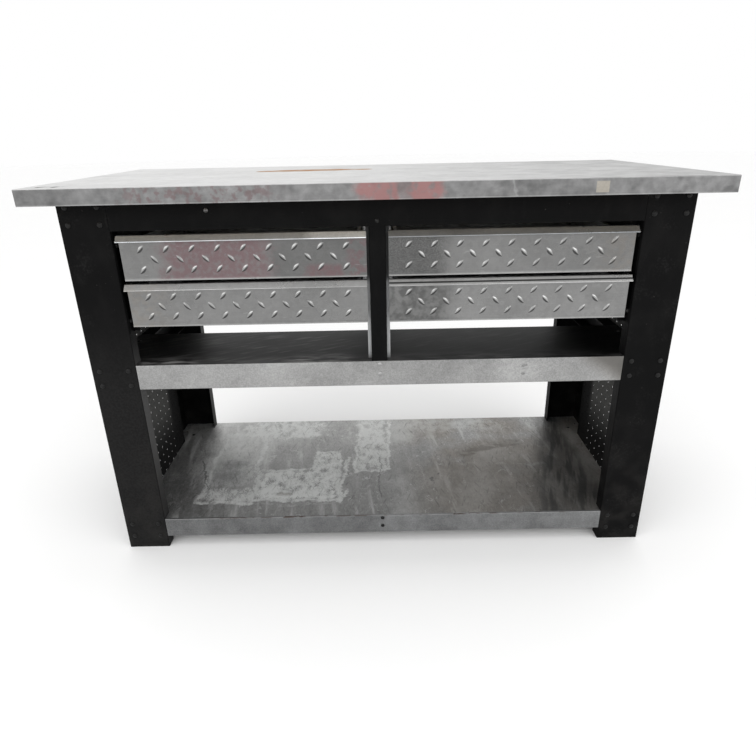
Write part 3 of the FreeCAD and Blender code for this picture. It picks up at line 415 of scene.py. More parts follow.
OIL_SMEARS = (((0.277, 0.043), (0.448, 0.105), 0.035), ((-0.292, -0.178), (-0.274, -0.178), 0.017))
OIL_BROWN = (0.085, 0.070, 0.055, 1.0)
SHELF_SCORES = (((-0.571, 0.020), (-0.519, -0.143), 0.004), ((-0.010, 0.020), (-0.004, -0.200), 0.003),
                ((0.171, -0.087), (0.171, -0.087), 0.0075), ((0.149, -0.115), (0.152, -0.104), 0.0075))
SCORE_GREY = grey(0.040)
SHELF_END_SHADE_LEAN = 0.277
SHELF_END_SHADE_X = (0.455, 0.545)
SHELF_END_SHADE_STOP_X = (0.66, 0.60)
SHELF_END_SHADE = grey(0.022)
LEFT_END_DARK_Y = (0.262, 0.250)
LEFT_END_DARK = grey(0.030)
FOLD_WEAR_X = (-0.50, 0.50)
FOLD_RUST_X = ((-0.30, -0.14), (0.15, 0.26))
FOLD_HIGHLIGHT = grey(0.25)
RUST = (0.050, 0.028, 0.018, 1.0)


def wavering(finish, coarse, fine):
    """Small random shift that makes straight marks uneven, from waves of two sizes."""
    return 0.045 * (finish.noise(coarse, 4.0) - 0.5) + 0.018 * (finish.noise(fine, 4.0) - 0.5)


def water_marks(finish, across, along, chalk):
    """Chalky marks left by water on the shelf: films, their rims, faint runs and tide lines."""
    films = 0.0
    for x_span, y_span, soft, strength in DRIED_WATER:
        film = across.within(*x_span, soft) * along.within(*y_span, soft)
        films = strength * (film + 1.6 * (chalk - 0.5)).between(0.35, 0.85) | films
    rims = finish.strokes(across, along, WATER_EDGES) * chalk.between(0.32, 0.54)
    runs = finish.strokes(across, along, FAINT_RUNS) * chalk.between(0.40, 0.60)
    tide = abs(finish.noise(0.060, 4.0, (1.0, 1.3, 1.0)) - 0.5).between(0.012, 0.002)
    tide = tide * chalk.between(0.44, 0.58)
    return films * chalk.between(0.37, 0.55) | 0.85 * rims | 0.32 * runs | 0.45 * tide


def shelf_end_shade(finish, shift):
    """Mask of painted shade along the right end of the shelf, streaked and drawn out towards the back."""
    x, y = finish.x, finish.y
    reach = (x - SHELF_END_SHADE_LEAN * y + 0.3 * shift).between(*SHELF_END_SHADE_X) * x.between(*SHELF_END_SHADE_STOP_X)
    drawn = finish.noise(0.014, 6.0, (1.0, 8.0, 1.0), -0.25).between(0.60, 0.40)
    return reach * (0.62 + 0.38 * drawn)


def rusty_fold(finish, colour):
    """The shelf's colour with a painted highlight along its front fold, and rusted where it is chipped."""
    x, y, z = finish.x, finish.y, finish.z
    fold = y.between(SHELF_LOW.y + 0.0060, SHELF_LOW.y + 0.0030)
    fold = fold * z.between(SHELF_HIGH.z - 0.0022, SHELF_HIGH.z - 0.0010)
    chipped = finish.noise(0.012, 6.0, (3.0, 1.0, 1.0)).between(0.48, 0.56)
    rusted = 0.6 * x.within(*FOLD_WEAR_X, 0.1)
    for span in FOLD_RUST_X:
        rusted = x.within(*span, 0.03) | rusted
    # Painted highlight along the front fold.
    colour = finish.mix(0.55 * fold, colour, FOLD_HIGHLIGHT)
    return finish.mix(0.9 * fold * chipped * rusted, colour, RUST)


def worn_shelf():
    """Bottom shelf: dull zinc, chalky water marks, oily smears, scores, rusty fold, painted light and shade.
    """
    finish = Finish("worn_shelf_zinc")
    x, y, z = finish.x, finish.y, finish.z
    level = zinc_level(finish, SHELF_CRYSTAL)
    cloud = finish.noise(0.20, 6.0)
    streak = finish.noise(0.020, 6.0, (1.0, 9.0, 1.0), 0.12)
    fine = finish.noise(0.0038, 5.0, (1.0, 2.0, 1.0))
    chalk = 0.55 * finish.noise(0.020, 9.0, (1.0, 1.5, 1.0)) + 0.45 * finish.noise(0.0034, 4.0)
    shift = wavering(finish, 0.07, 0.011)
    across, along = x + shift, y + wavering(finish, 0.055, 0.013)

    # Painted reflection: the shelf and its water marks are painted brighter towards the back,
    # where the shelf mirrors the light behind the bench. The shelf is also brighter to the left.
    pale = y.between(*SHELF_REFLECTION_Y)
    lightened = (1 + 0.72 * pale) * (1 + 0.28 * x.between(*SHELF_PALE_X))
    dull = SHELF_TONE * level * (0.12 + 0.46 * cloud + 0.56 * streak + 0.76 * fine) * lightened
    brown = x.between(*SHELF_BROWN_X) * cloud.between(0.40, 0.60)
    colour = finish.mix(0.55 * brown, finish.tint(dull, SHELF_TINT), finish.tint(dull, SHELF_BROWN))

    marks = water_marks(finish, across, along, chalk)
    marks = marks | 0.32 * streak.between(0.54, 0.72) | 0.25 * cloud.between(0.54, 0.70)
    colour = finish.mix(0.88 * marks, colour, finish.tint(1 + 0.45 * pale, LIME_WHITE))
    wiped = across.within(*TRAY_WIPED_X, 0.025) * along.within(*TRAY_WIPED_Y, 0.030)
    colour = finish.mix(0.40 * wiped * (1 - chalk.between(0.5, 0.7)), colour, WIPED_GREY)

    thin = finish.noise(0.03, 5.0, (3.0, 1.0, 1.0)).between(0.34, 0.56)
    oily = 0.75 * finish.strokes(across, along, OIL_SMEARS) * thin | 0.35 * brown
    colour = finish.mix(0.75 * oily, colour, OIL_BROWN)
    hair = finish.noise(0.005, 5.0, (1.0, 12.0, 1.0), -0.3) | finish.noise(0.006, 5.0, (1.0, 10.0, 1.0), 0.35)
    scores = 0.55 * finish.strokes(across, along, SHELF_SCORES) | 0.40 * hair.between(0.59, 0.73)
    colour = finish.mix(scores, colour, SCORE_GREY)
    # Painted shade along the right end of the shelf.
    end_shade = shelf_end_shade(finish, shift)
    colour = finish.mix(0.88 * end_shade, colour, SHELF_END_SHADE)
    # The left end of the shelf, beyond the leg, is darker.
    corner = x.between(LEG_HIGH.x, LEG_HIGH.x - 0.005) * y.between(*LEFT_END_DARK_Y)
    corner = corner * (0.55 + 0.45 * finish.noise(0.020, 6.0, (1.0, 5.0, 1.0), 0.15).between(0.36, 0.60))
    colour = finish.mix(0.15 * corner, colour, LEFT_END_DARK)

    lip_level = SHELF_LIP_TONE * level * (0.85 * cloud + 0.75 * finish.noise(0.03, 7.0) + 0.90 * fine - 0.25)
    inside = y.between(SHELF_LOW.y + 0.003, SHELF_LOW.y + 0.008)
    inside = inside * z.between(SHELF_HIGH.z - 0.0040, SHELF_HIGH.z - 0.0020)
    colour = finish.mix(inside, finish.tint(lip_level, COOL), colour)
    coated = inside * (marks | oily)
    return finish.surface({
        "Base Color": rusty_fold(finish, colour),
        "Metallic": 0.85 - 0.60 * coated - 0.35 * inside * end_shade,
        "Roughness": 0.42 + 0.12 * cloud + 0.20 * coated,
        "Specular IOR Level": 0.3,
        "Normal": finish.bump(zinc_relief(finish) + 0.04 * inside * marks, SHELF_WAVE),
    })


# Middle shelf

LIP_TONE = 0.300
LIP_TINT = (1.0, 1.0, 0.99, 1.0)
LIP_GLINTS = (((0.315, 0.515), (0.435, 0.495), 0.050),)
LIP_DENTS = (((0.350, 0.521), (0.357, 0.522), 0.006), ((0.350, 0.500), (0.354, 0.499), 0.005))
DENT_GREY = grey(0.10)
LIP_SCUFF = grey(0.20)
LIP_SHADE_GRIME_X = 0.475
LIP_SHADE_GRIME_LEAN = 1.46
LIP_SHADE_GRIME_SPREAD = (-0.020, 0.070)
LIP_SHADE_GRIME_TINT = (1.04, 1.0, 0.94, 1.0)
HANDLED_TONE = 0.034
HANDLED_TINT = (1.0, 0.99, 0.97, 1.0)
HANDLED_PALE_X = (0.0, -0.2)
SHELF_DUST_X = ((-0.60, -0.45), (-0.235, -0.070))
SHELF_DUST_Y = (-0.215, -0.284)
SHELF_DUST = grey(0.34, 0.02)


def pale_lip(finish, level, cloud):
    """Colour of the middle shelf's lips and the mask of their dents: pale, with a right end in painted shade
    and grime.
    """
    x, z = finish.x, finish.z
    fine = finish.noise(0.0028, 3.0)
    # Painted shade with some brown grime towards the right end, and a painted glint along the lip.
    shade_and_grime = (x - LIP_SHADE_GRIME_X + LIP_SHADE_GRIME_LEAN * (z - HALF_SHELF_HIGH.z)).between(*LIP_SHADE_GRIME_SPREAD)
    shade_and_grime = shade_and_grime * (0.75 + 0.5 * fine)
    lip_level = LIP_TONE * level * (0.16 + 0.85 * cloud + 0.80 * fine) * (1 - 0.58 * shade_and_grime)
    lip_level = lip_level * (1 + 0.14 * finish.strokes(x, z, LIP_GLINTS))
    colour = finish.mix(shade_and_grime, finish.tint(lip_level, LIP_TINT), finish.tint(lip_level, LIP_SHADE_GRIME_TINT))
    dents = finish.strokes(x, z, LIP_DENTS) * finish.noise(0.004, 4.0).between(0.38, 0.55)
    colour = finish.mix(0.55 * dents, colour, DENT_GREY)
    scuffed = finish.noise(0.010, 6.0, (4.0, 1.0, 1.0)).between(0.60, 0.76)
    return finish.mix(0.25 * scuffed, colour, LIP_SCUFF), dents


def handled_face(finish, level):
    """Colour of the middle shelf's upper face and the mask of its dust: dark, and dusty along the front."""
    x, y = finish.x, finish.y
    rubbed = finish.noise(0.05, 7.0, (4.0, 1.0, 1.0), 0.25)
    streak = finish.noise(0.012, 6.0, (7.0, 1.0, 1.0), 0.45).between(0.50, 0.70)
    paler = 0.44 + 1.53 * x.between(*HANDLED_PALE_X)
    colour = finish.tint(HANDLED_TONE * paler * level * (0.30 + rubbed + 1.2 * streak), HANDLED_TINT)
    dusty = 0.25
    for span in SHELF_DUST_X:
        dusty = x.within(*span, 0.03) | dusty
    dust = dusty * y.between(*SHELF_DUST_Y) * finish.noise(0.014, 8.0, (5.0, 1.0, 1.0)).between(0.38, 0.66)
    return finish.mix(0.75 * dust, colour, SHELF_DUST), dust


def half_shelf():
    """Middle shelf: clean pale lips, and a handled surface with dust along the front."""
    finish = Finish("half_shelf_zinc")
    level = zinc_level(finish)
    cloud = finish.noise(0.15, 6.0)
    face = finish.z.between(HALF_SHELF_HIGH.z - 0.0030, HALF_SHELF_HIGH.z - 0.0015)
    face = face * finish.y.between(HALF_SHELF_LOW.y + 0.0015, HALF_SHELF_LOW.y + 0.0025)
    lip_colour, dents = pale_lip(finish, level, cloud)
    face_colour, dust = handled_face(finish, level)
    dust = dust * face
    return finish.surface({
        "Base Color": finish.mix(face, lip_colour, face_colour),
        "Metallic": 0.9 - 0.85 * dust,
        "Roughness": 0.40 + 0.08 * cloud + 0.15 * dust,
        "Specular Tint": grey(0.80),
        "Normal": finish.bump(zinc_relief(finish) - 0.3 * (1 - face) * dents, SHELF_WAVE),
    })


# Finish of the drawer fronts

TREAD_TONE = 0.192
TREAD_TINT = (1.0, 1.0, 0.99, 1.0)
TREAD_CRYSTAL = 0.009
TREAD_WAVE = 0.0009
HANDLED_UPPER_LEFT_X = (-0.250, -0.010)
HANDLED_UPPER_RIGHT_X = (0.0, 0.155)
HANDLED_LOWER_RIGHT_X = (0.0, 0.165)
DARK_SPOT_X = (0.49, 0.53)
DARK_SPOT_Z = (0.675, 0.705)
PALE_LOWER_X = (0.14, 0.22)
WARM_LOWER_X = (-0.44, -0.56)
WARM_UPPER_X = (0.46, 0.56)
WARM = (1.08, 1.0, 0.90, 1.0)
LEFT_FRONTS_X = (0.0, -0.02)
PULL_GLINT_X = (-0.152, -0.020)
PULL_TINT = (0.96, 1.0, 1.03, 1.0)
PULL_SHADOW_LINE_Y = (FACE_Y - 0.0170, FACE_Y - 0.0140)
FILM_X = (-0.485, -0.250)
FILM_LOW_X = (-0.160, -0.080)
FILM_LOW_Z = (0.785, 0.770)
FILM_END_X = (-0.065, -0.020)
FILM_RED = (0.175, 0.108, 0.116, 1.0)
SCRATCH_GREY = grey(0.40)


def handled_ends(finish, drift, upper, speck, spots):
    """How far each front is darkened: by handling, mostly towards the middle of the bench, and at one spot on
    the lower right front.
    """
    lower = 1 - upper
    upper_left = upper * drift.within(*HANDLED_UPPER_LEFT_X, 0.015)
    upper_right = upper * drift.within(*HANDLED_UPPER_RIGHT_X, 0.025)
    upper_right = upper_right * (0.70 + 0.6 * speck.between(0.62, 0.40))
    lower_right = lower * drift.within(*HANDLED_LOWER_RIGHT_X, 0.030)
    lower_right = lower_right * (0.45 + 0.75 * spots.between(0.62, 0.38))
    # A darker spot near the right end of the lower right front.
    dark_spot = lower * drift.within(*DARK_SPOT_X, 0.03) * finish.z.within(*DARK_SPOT_Z, 0.015)
    return 0.24 * upper_left | 0.40 * upper_right | 0.38 * lower_right | 0.22 * dark_spot


def red_film(finish, drift, speck, spots):
    """Mask of the thin red film on the upper left front, by place along it."""
    grain = 0.8 * (finish.noise(0.022, 7.0) - 0.5) + 1.1 * (speck - 0.5)
    film = (drift.within(*FILM_X, 0.045) + grain).between(0.10, 0.85)
    film = film | drift.within(*FILM_LOW_X, 0.010) * finish.z.between(*FILM_LOW_Z)
    film = film | 0.8 * drift.within(*FILM_END_X, 0.010) * spots.between(0.45, 0.55)
    return film * (0.50 + 0.50 * finish.noise(0.012, 7.0).between(0.32, 0.56))


def pull_light_and_rubbing(finish, drift, upper, pull):
    """Factor of painted light on the pulls, partly for rubbing by hands: a painted glint, and a painted
    shadow line on the lower right one.
    """
    lower = 1 - upper
    left = finish.x.between(*LEFT_FRONTS_X)
    glint = upper * left * drift.within(*PULL_GLINT_X, 0.012)
    shadow_line = lower * (1 - left) * finish.y.within(*PULL_SHADOW_LINE_Y, 0.0005)
    gain = 0.50 + 1.25 * upper * left + 2.0 * glint + 0.45 * lower
    return (1 + pull * gain) * (1 - 0.88 * shadow_line)


def tread_zinc():
    """Embossed drawer fronts: grey zinc, a red film on one, handled ends towards the middle, painted light on
    pads and pulls.
    """
    finish = Finish("tread_zinc")
    x, y, z = finish.x, finish.y, finish.z
    cloud = finish.noise(0.12, 6.0)
    speck = finish.noise(0.0024, 3.0)
    spots = finish.noise(0.018, 5.0)
    drift = x + 0.05 * (finish.noise(0.035, 6.0) - 0.5)
    upper = z.between(LOWER_FRONT_TOP_Z + 0.001, UPPER_FRONT_Z - 0.001)
    lower = 1 - upper
    pull = y.between(FACE_Y - 0.003, FACE_Y - 0.005)
    face = 1 - pull
    raised = face * y.between(FACE_Y - 0.0002, FACE_Y - 0.0008)
    # Painted light on the pads: down-facing flanks are painted in shade by the tilt of the normal, and
    # the rest of each pad is painted brighter, partly as a highlight and partly for wear on the pads.
    facing = finish.node("ShaderNodeNewGeometry", output="Normal")
    tilt = finish.node("ShaderNodeSeparateXYZ", None, {"Vector": facing}, "Z")
    under = face * tilt.between(-0.02, -0.20)
    flat = face * (1 - raised)

    handled = handled_ends(finish, drift, upper, speck, spots)
    level = TREAD_TONE * zinc_level(finish, TREAD_CRYSTAL) * (0.76 + 0.24 * cloud + 0.24 * speck)
    level = level * (1 - flat * handled) * (1 + 0.55 * raised * (1 - under)) * (1 - 0.68 * under)
    level = level * (1 + 0.10 * lower * x.between(*PALE_LOWER_X))
    # Painted light and shade on the pulls.
    level = level * pull_light_and_rubbing(finish, drift, upper, pull)
    colour = finish.tint(level, TREAD_TINT)
    warm = lower * drift.between(*WARM_LOWER_X) | upper * drift.between(*WARM_UPPER_X)
    colour = finish.mix(0.5 * warm * spots.between(0.35, 0.65), colour, finish.tint(level, WARM))
    film = upper * flat * red_film(finish, drift, speck, spots)
    colour = finish.mix(0.76 * film, colour, finish.tint(0.7 + 0.4 * speck, FILM_RED))
    colour = finish.mix(upper * pull, colour, finish.tint(level, PULL_TINT))
    scratch = finish.noise(0.006, 6.0, (5.0, 1.0, 1.0)).between(0.68, 0.74)
    colour = finish.mix(0.20 * face * scratch, colour, SCRATCH_GREY)
    return finish.surface({
        "Base Color": colour,
        "Metallic": 0.95 - 0.10 * film,
        "Roughness": 0.24 + 0.08 * cloud + 0.10 * film + 0.10 * handled,
        "Normal": finish.bump(finish.noise(0.11, 1.0) + 0.02 * finish.noise(0.003, 2.0), TREAD_WAVE),
    })


# Black coats

COAT_TONE = 0.0024
COAT_TINT = (1.0, 1.0, 1.04, 1.0)
COAT_SHINE = 0.062
COAT_PEEL = 0.00012
COAT_RUB = grey(0.0095, 0.02)
COAT_CHIP = grey(0.09, 0.05)
LEG_GREYED_X = (0.0, -0.1)
LEG_GREYED_Z = (0.72, 0.42)
LEG_GREYED = grey(0.017, 0.01)
LEG_LIP_Z = (0.62, 0.52)
LEG_LIP_FADE_Z = (0.10, 0.34)
LEG_LIP_LIGHTER = grey(0.062, 0.01)
FLOOR_DUST_Z = (0.40, 0.02)
FLOOR_DUST = grey(0.026, 0.06)
PANEL_LIGHT_Y = (0.095, 0.060)
PANEL_LIGHT_LOW_Z = (0.15, 0.31)
PANEL_LIGHT_HIGH_Z = (0.64, 0.52)
PANEL_LIGHT = (0.080, 0.080, 0.076, 1.0)
BOLT_BLACK = grey(0.003)
BOLT_WORN = grey(0.010, 0.03)


def clean_coat(finish, cloud):
    """Colour of the black coat before any wear."""
    return finish.tint(COAT_TONE * (0.55 + 0.9 * cloud), COAT_TINT)


def orange_peel(finish):
    """Normal of the fine, uneven skin of a powder coat."""
    return finish.bump(finish.noise(0.0022, 1.0) + 0.6 * finish.noise(0.012, 2.0), COAT_PEEL)


def black_coat():
    """Satin powder coat: fine orange peel, cloudy rubs, scuffed front legs and dust near the floor."""
    finish = Finish("black_powder_coat")
    x, y, z = finish.x, finish.y, finish.z
    cloud = finish.noise(0.16, 6.0)
    rub = finish.noise(0.060, 7.0, (1.0, 1.0, 1.6)).between(0.46, 0.76)
    wiped = finish.noise(0.020, 6.0, (1.0, 1.0, 3.0)).between(0.58, 0.78)
    colour = finish.mix(0.45 * rub | 0.25 * wiped, clean_coat(finish, cloud), COAT_RUB)
    front = y.between(FACE_Y + 0.004, FACE_Y + 0.001)
    front = front * abs(x).between(LEG_INSIDE_X - 0.010, LEG_INSIDE_X + 0.005)
    fine = finish.noise(0.0045, 6.0)
    greyed = front * x.between(*LEG_GREYED_X) * z.between(*LEG_GREYED_Z)
    greyed = greyed * (0.62 + 0.5 * fine.between(0.34, 0.66))
    scuff = front * finish.noise(0.075, 5.0).between(0.46, 0.62) * fine.between(0.46, 0.66)
    colour = finish.mix(0.58 * greyed | 0.36 * scuff, colour, LEG_GREYED)
    # The inner flange of the left front leg is lighter below the middle shelf.
    inner_lip = x.within(LEG_HIGH.x - 0.0020, LEG_HIGH.x + 0.0010, 0.0006)
    inner_lip = inner_lip * y.between(FACE_Y + 0.0015, FACE_Y + 0.0025) * z.between(*LEG_LIP_Z)
    inner_lip = inner_lip * (0.35 + 0.65 * z.between(*LEG_LIP_FADE_Z))
    colour = finish.mix(inner_lip, colour, LEG_LIP_LIGHTER)
    chip = finish.noise(0.008, 3.0).between(0.74, 0.78)
    chip = chip | front * finish.noise(0.0042, 3.0).between(0.74, 0.79)
    colour = finish.mix(0.45 * chip, colour, COAT_CHIP)
    low = z.between(*FLOOR_DUST_Z) * finish.noise(0.05, 6.0).between(0.40, 0.66)
    return finish.surface({
        "Base Color": finish.mix(0.3 * low, colour, FLOOR_DUST),
        "Roughness": 0.46 + 0.12 * cloud + 0.14 * rub,
        "Specular IOR Level": COAT_SHINE,
        "Normal": orange_peel(finish),
    })


def black_panel():
    """Coat of the end panels, with painted light in a band on their inner faces between the shelves, but not
    at the back.
    """
    finish = Finish("black_panel_coat")
    x, y, z = finish.x, finish.y, finish.z
    cloud = finish.noise(0.10, 6.0)
    # Painted light: the mask below is a lit band on each panel's inner face towards the front.
    inner = abs(x).between(PANEL_INSIDE_X + 0.0009, PANEL_INSIDE_X + 0.0003)
    band = y.between(*PANEL_LIGHT_Y) * z.between(*PANEL_LIGHT_LOW_Z) * z.between(*PANEL_LIGHT_HIGH_Z)
    dust = 0.72 * inner * band * (0.55 + 0.9 * finish.noise(0.006, 6.0))
    lit_colour = finish.tint(0.6 + 0.8 * cloud, PANEL_LIGHT)
    return finish.surface({
        "Base Color": finish.mix(dust, clean_coat(finish, cloud), lit_colour),
        "Roughness": 0.50 + 0.14 * cloud,
        "Specular IOR Level": COAT_SHINE,
        "Normal": orange_peel(finish),
    })


def black_fastener():
    """Black bolts and rivets, worn to grey in spots."""
    finish = Finish("black_bolt_coat")
    worn = finish.noise(0.004, 4.0).between(0.46, 0.62)
    return finish.surface({
        "Base Color": finish.mix(0.6 * worn, BOLT_BLACK, BOLT_WORN),
        "Metallic": 0.12 + 0.20 * worn,
        "Roughness": 0.38 + 0.2 * finish.noise(0.003, 3.0),
        "Specular IOR Level": 0.26,
        "Normal": finish.bump(finish.noise(0.0012, 2.0), FINE_GRAIN),
    })


# Small metal and board

PLATING_BRIGHT = grey(0.17, 0.01)
PLATING_DULL = grey(0.06, 0.03)
PLATING_ON_SHELF = grey(0.34)
POST_BOLTS_X = (-0.03, 0.03)
POST_GREASE = grey(0.010)
SLIDE_GREASE = grey(0.16, 0.10)
BALL_TINT = (1.0, 0.985, 0.95, 1.0)
BALL_GRAIN = 0.00005
BOARD_DARK = (0.36, 0.29, 0.21, 1.0)
BOARD_PALE = (0.54, 0.46, 0.36, 1.0)
BOARD_STAIN = (0.30, 0.23, 0.16, 1.0)
BOARD_FIBRE = 0.0004


def zinc_fastener():
    """Plated bolts, rivets and screws: dulled, bright on the middle shelf and greasy beside the posts."""
    finish = Finish("zinc_bolt_plating")
    dull = finish.noise(0.005, 5.0)
    on_shelf = finish.z.within(HALF_SHELF_LOW.z, HALF_SHELF_HIGH.z, 0.002)
    greasy = finish.x.within(*POST_BOLTS_X, 0.005) * (1 - on_shelf)
    plating = finish.mix(dull.between(0.42, 0.60), PLATING_BRIGHT, PLATING_DULL)
    plating = finish.mix(on_shelf, plating, PLATING_ON_SHELF)
    return finish.surface({
        "Base Color": finish.mix(0.9 * greasy, plating, POST_GREASE),
        "Metallic": 0.9,
        "Roughness": 0.32 + 0.25 * dull,
        "Normal": finish.bump(finish.noise(0.0015, 2.0), FINE_GRAIN),
    })


def slide_zinc():
    """Bright rolled steel of the slides, drawn along Y, with grease in places."""
    finish = Finish("slide_steel_bright")
    drawn = finish.noise(0.0012, 1.0, (1.0, 40.0, 1.0))
    grease = finish.noise(0.03, 5.0).between(0.52, 0.66)
    return finish.surface({
        "Base Color": finish.mix(0.5 * grease, finish.tint(0.40 + 0.20 * drawn, COOL), SLIDE_GREASE),
        "Metallic": 0.95,
        "Roughness": 0.24 + 0.12 * drawn + 0.15 * grease,
        "Normal": finish.bump(drawn, FINE_GRAIN),
    })


def ball_finish():
    """Polished balls and their strip."""
    finish = Finish("ball_cage_steel")
    film = finish.noise(0.004, 3.0)
    return finish.surface({
        "Base Color": finish.tint(0.50 + 0.15 * film, BALL_TINT),
        "Metallic": 1.0,
        "Roughness": 0.14 + 0.12 * film,
        "Normal": finish.bump(finish.noise(0.002, 2.0), BALL_GRAIN),
    })


def raw_board():
    """Pressed fibreboard under the top sheet."""
    finish = Finish("raw_fibreboard")
    fibre = finish.noise(0.004, 5.0, (3.0, 3.0, 1.0))
    stain = finish.noise(0.09, 4.0)
    colour = finish.mix(fibre, BOARD_DARK, BOARD_PALE)
    return finish.surface({
        "Base Color": finish.mix(0.35 * stain.between(0.5, 0.7), colour, BOARD_STAIN),
        "Roughness": 0.75 + 0.15 * fibre,
        "Normal": finish.bump(fibre, BOARD_FIBRE),
    })


FINISHES = {
    "top_steel": worn_top(),
    "board": raw_board(),
    "black_paint": black_coat(),
    "black_panel": black_panel(),
    "black_bolts": black_fastener(),
    "zinc_bolts": zinc_fastener(),
    "shelf_steel": worn_shelf(),
    "galvanised": plain_zinc(),
    "tread_steel": tread_zinc(),
    "slide_steel": slide_zinc(),
    "ball_steel": ball_finish(),
}


def dress_cad_nodes():
    """Gives every CAD node the finish of its slot; the middle shelf and the partition have their own."""
    slots = {part["node"]: part["material_slot"] for part in frame["record"]["subparts"]}
    own = {"middle_shelf": half_shelf(), "centre_partition": partition_zinc()}
    for name, piece in frame["nodes"].items():
        material = own.get(name, FINISHES[slots[name]])
        if not piece.material_slots:
            piece.data.materials.append(material)
        for slot in piece.material_slots:
            slot.material = material


# Drawer fronts: a folded sheet with pressed tread pads, a kicked lower edge and a hemmed pull

SHEET = 0.001
PULL_LEDGE = 0.009
PULL_REACH = 0.020
PULL_DROP = 0.012
KICK_HEIGHT = 0.006
KICK_REACH = 0.001
BEND = 0.0016
BEND_STEPS = 6
HEM_RADIUS = 0.0010
HEM_STEPS = 8
HEM_RETURN = 0.005
TAB_LENGTH = 0.015
TAB_RISE = 0.016
TAB_DROP = 0.024
TAB_CUT = 0.004
BOX_SHEET = 0.001
SHARP_ANGLE = math.radians(38)
MERGE_DISTANCE = 1e-6
SLIVER = 1e-7

# Tread pads. The spine, rounding and taper are shares of a pad's length, slope and height.
PAD_LENGTH = 0.025
PAD_WIDTH = 0.0110
PAD_HEIGHT = 0.0017
PAD_SPINE = 0.62
PAD_FLAT = 0.15
PAD_ROUNDING = 0.15
PAD_TAPER = 0.35
PAD_RIM_POWER = 1.5
PAD_LEAN = math.radians(47)
PAD_PITCH = 0.058
PAD_ROWS = 3
PAD_ROW_GAP = 0.0235
PAD_FIRST_ROW = 0.025
PAD_MARGIN = 0.040
PAD_RINGS = 7
PAD_STEPS = 36
PAD_BEARINGS = [2 * math.pi * i / PAD_STEPS for i in range(PAD_STEPS)]
INSIDE_OF_EDGES = 1


def turned(points):
    """Open line through 2D points with every inner corner turned on an arc."""
    line = [points[0]]
    for before, corner, after in zip(points, points[1:], points[2:]):
        into = (corner - before).normalized()
        out = (after - corner).normalized()
        turn = math.atan2(into.x * out.y - into.y * out.x, into.dot(out))
        reach = BEND * math.tan(abs(turn) / 2)
        start = corner - into * reach
        side = Vector((-into.y, into.x)) * math.copysign(BEND, turn)
        for i in range(BEND_STEPS + 1):
            spin = Matrix.Rotation(turn * i / BEND_STEPS, 2)
            line.append(start + side + spin @ -side)
    return line + [points[-1]]


def front_line(height):
    """Middle of the sheet from its lower edge to the end of the hem, as (y, z) off the face and that edge."""
    half = SHEET / 2
    lower_edge = Vector((half - KICK_REACH, 0.0))
    face_low = Vector((half, KICK_HEIGHT))
    face_high = Vector((half, height - half))
    shoulder = Vector((-PULL_LEDGE, height - half))
    tip = Vector((half - PULL_REACH, height - PULL_DROP))
    line = turned([lower_edge, face_low, face_high, shoulder, tip])
    slope = (tip - shoulder).normalized()
    under = Vector((-slope.y, slope.x))
    centre = tip + under * HEM_RADIUS
    for i in range(1, HEM_STEPS + 1):
        line.append(centre + Matrix.Rotation(math.pi * i / HEM_STEPS, 2) @ (-under * HEM_RADIUS))
    return line + [line[-1] - slope * HEM_RETURN]


def offset_line(line, distance):
    """Line moved to its left by a distance, mitred at each point."""
    moved = []
    for i, point in enumerate(line):
        into = (point - line[i - 1]).normalized() if i else (line[1] - point).normalized()
        out = (line[i + 1] - point).normalized() if i + 1 < len(line) else into
        left = Vector((-into.y - out.y, into.x + out.x)).normalized()
        miter = left.dot(Vector((-out.y, out.x)))
        moved.append(point + left * (distance / miter))
    return moved


def ring_edges(first, count):
    """Edges of a closed ring of points, as pairs of the points' numbers."""
    return [(first + i, first + (i + 1) % count) for i in range(count)]


def pad_places(half_width):
    """Centre and lean of every tread pad, in rows that lean one way and then the other."""
    places = []
    for row in range(PAD_ROWS):
        odd = row % 2
        span = 2 * (half_width - PAD_MARGIN - odd * PAD_PITCH / 2)
        count = int(span // PAD_PITCH)
        for i in range(count + 1):
            centre = Vector(((i - count / 2) * PAD_PITCH, PAD_FIRST_ROW + row * PAD_ROW_GAP))
            places.append((centre, Matrix.Rotation(-PAD_LEAN if odd else PAD_LEAN, 2)))
    return places


def pad_point(angle, share):
    """Point of a pad at an angle round it, a share of the way from spine to rim: its place and height."""
    rim_along = math.cos(angle) * PAD_LENGTH / 2
    rim_across = math.copysign(abs(math.sin(angle)) ** PAD_RIM_POWER, math.sin(angle)) * PAD_WIDTH / 2
    spine = PAD_SPINE * rim_along
    slope = min(1.0, (1 - share) / (1 - PAD_FLAT))
    flank = (1 - PAD_ROUNDING) * slope + PAD_ROUNDING * slope * slope * (3 - 2 * slope)
    taper = 1 - PAD_TAPER * math.cos(angle) ** 2
    return Vector((spine + (rim_along - spine) * share, rim_across * share)), PAD_HEIGHT * flank * taper


def press_pad(bm, centre, turn, y):
    """One pad as rings of faces, from its rim on the sheet up to its spine."""
    rings = []
    for ring in range(PAD_RINGS + 1):
        row = []
        for angle in PAD_BEARINGS:
            place, height = pad_point(angle, 1 - ring / PAD_RINGS)
            point = centre + turn @ place
            row.append(bm.verts.new((point.x, y - height, point.y)))
        rings.append(row)
    for outer, inner in zip(rings, rings[1:]):
        for i, j in ring_edges(0, PAD_STEPS):
            bm.faces.new((outer[i], outer[j], inner[j], inner[i]))


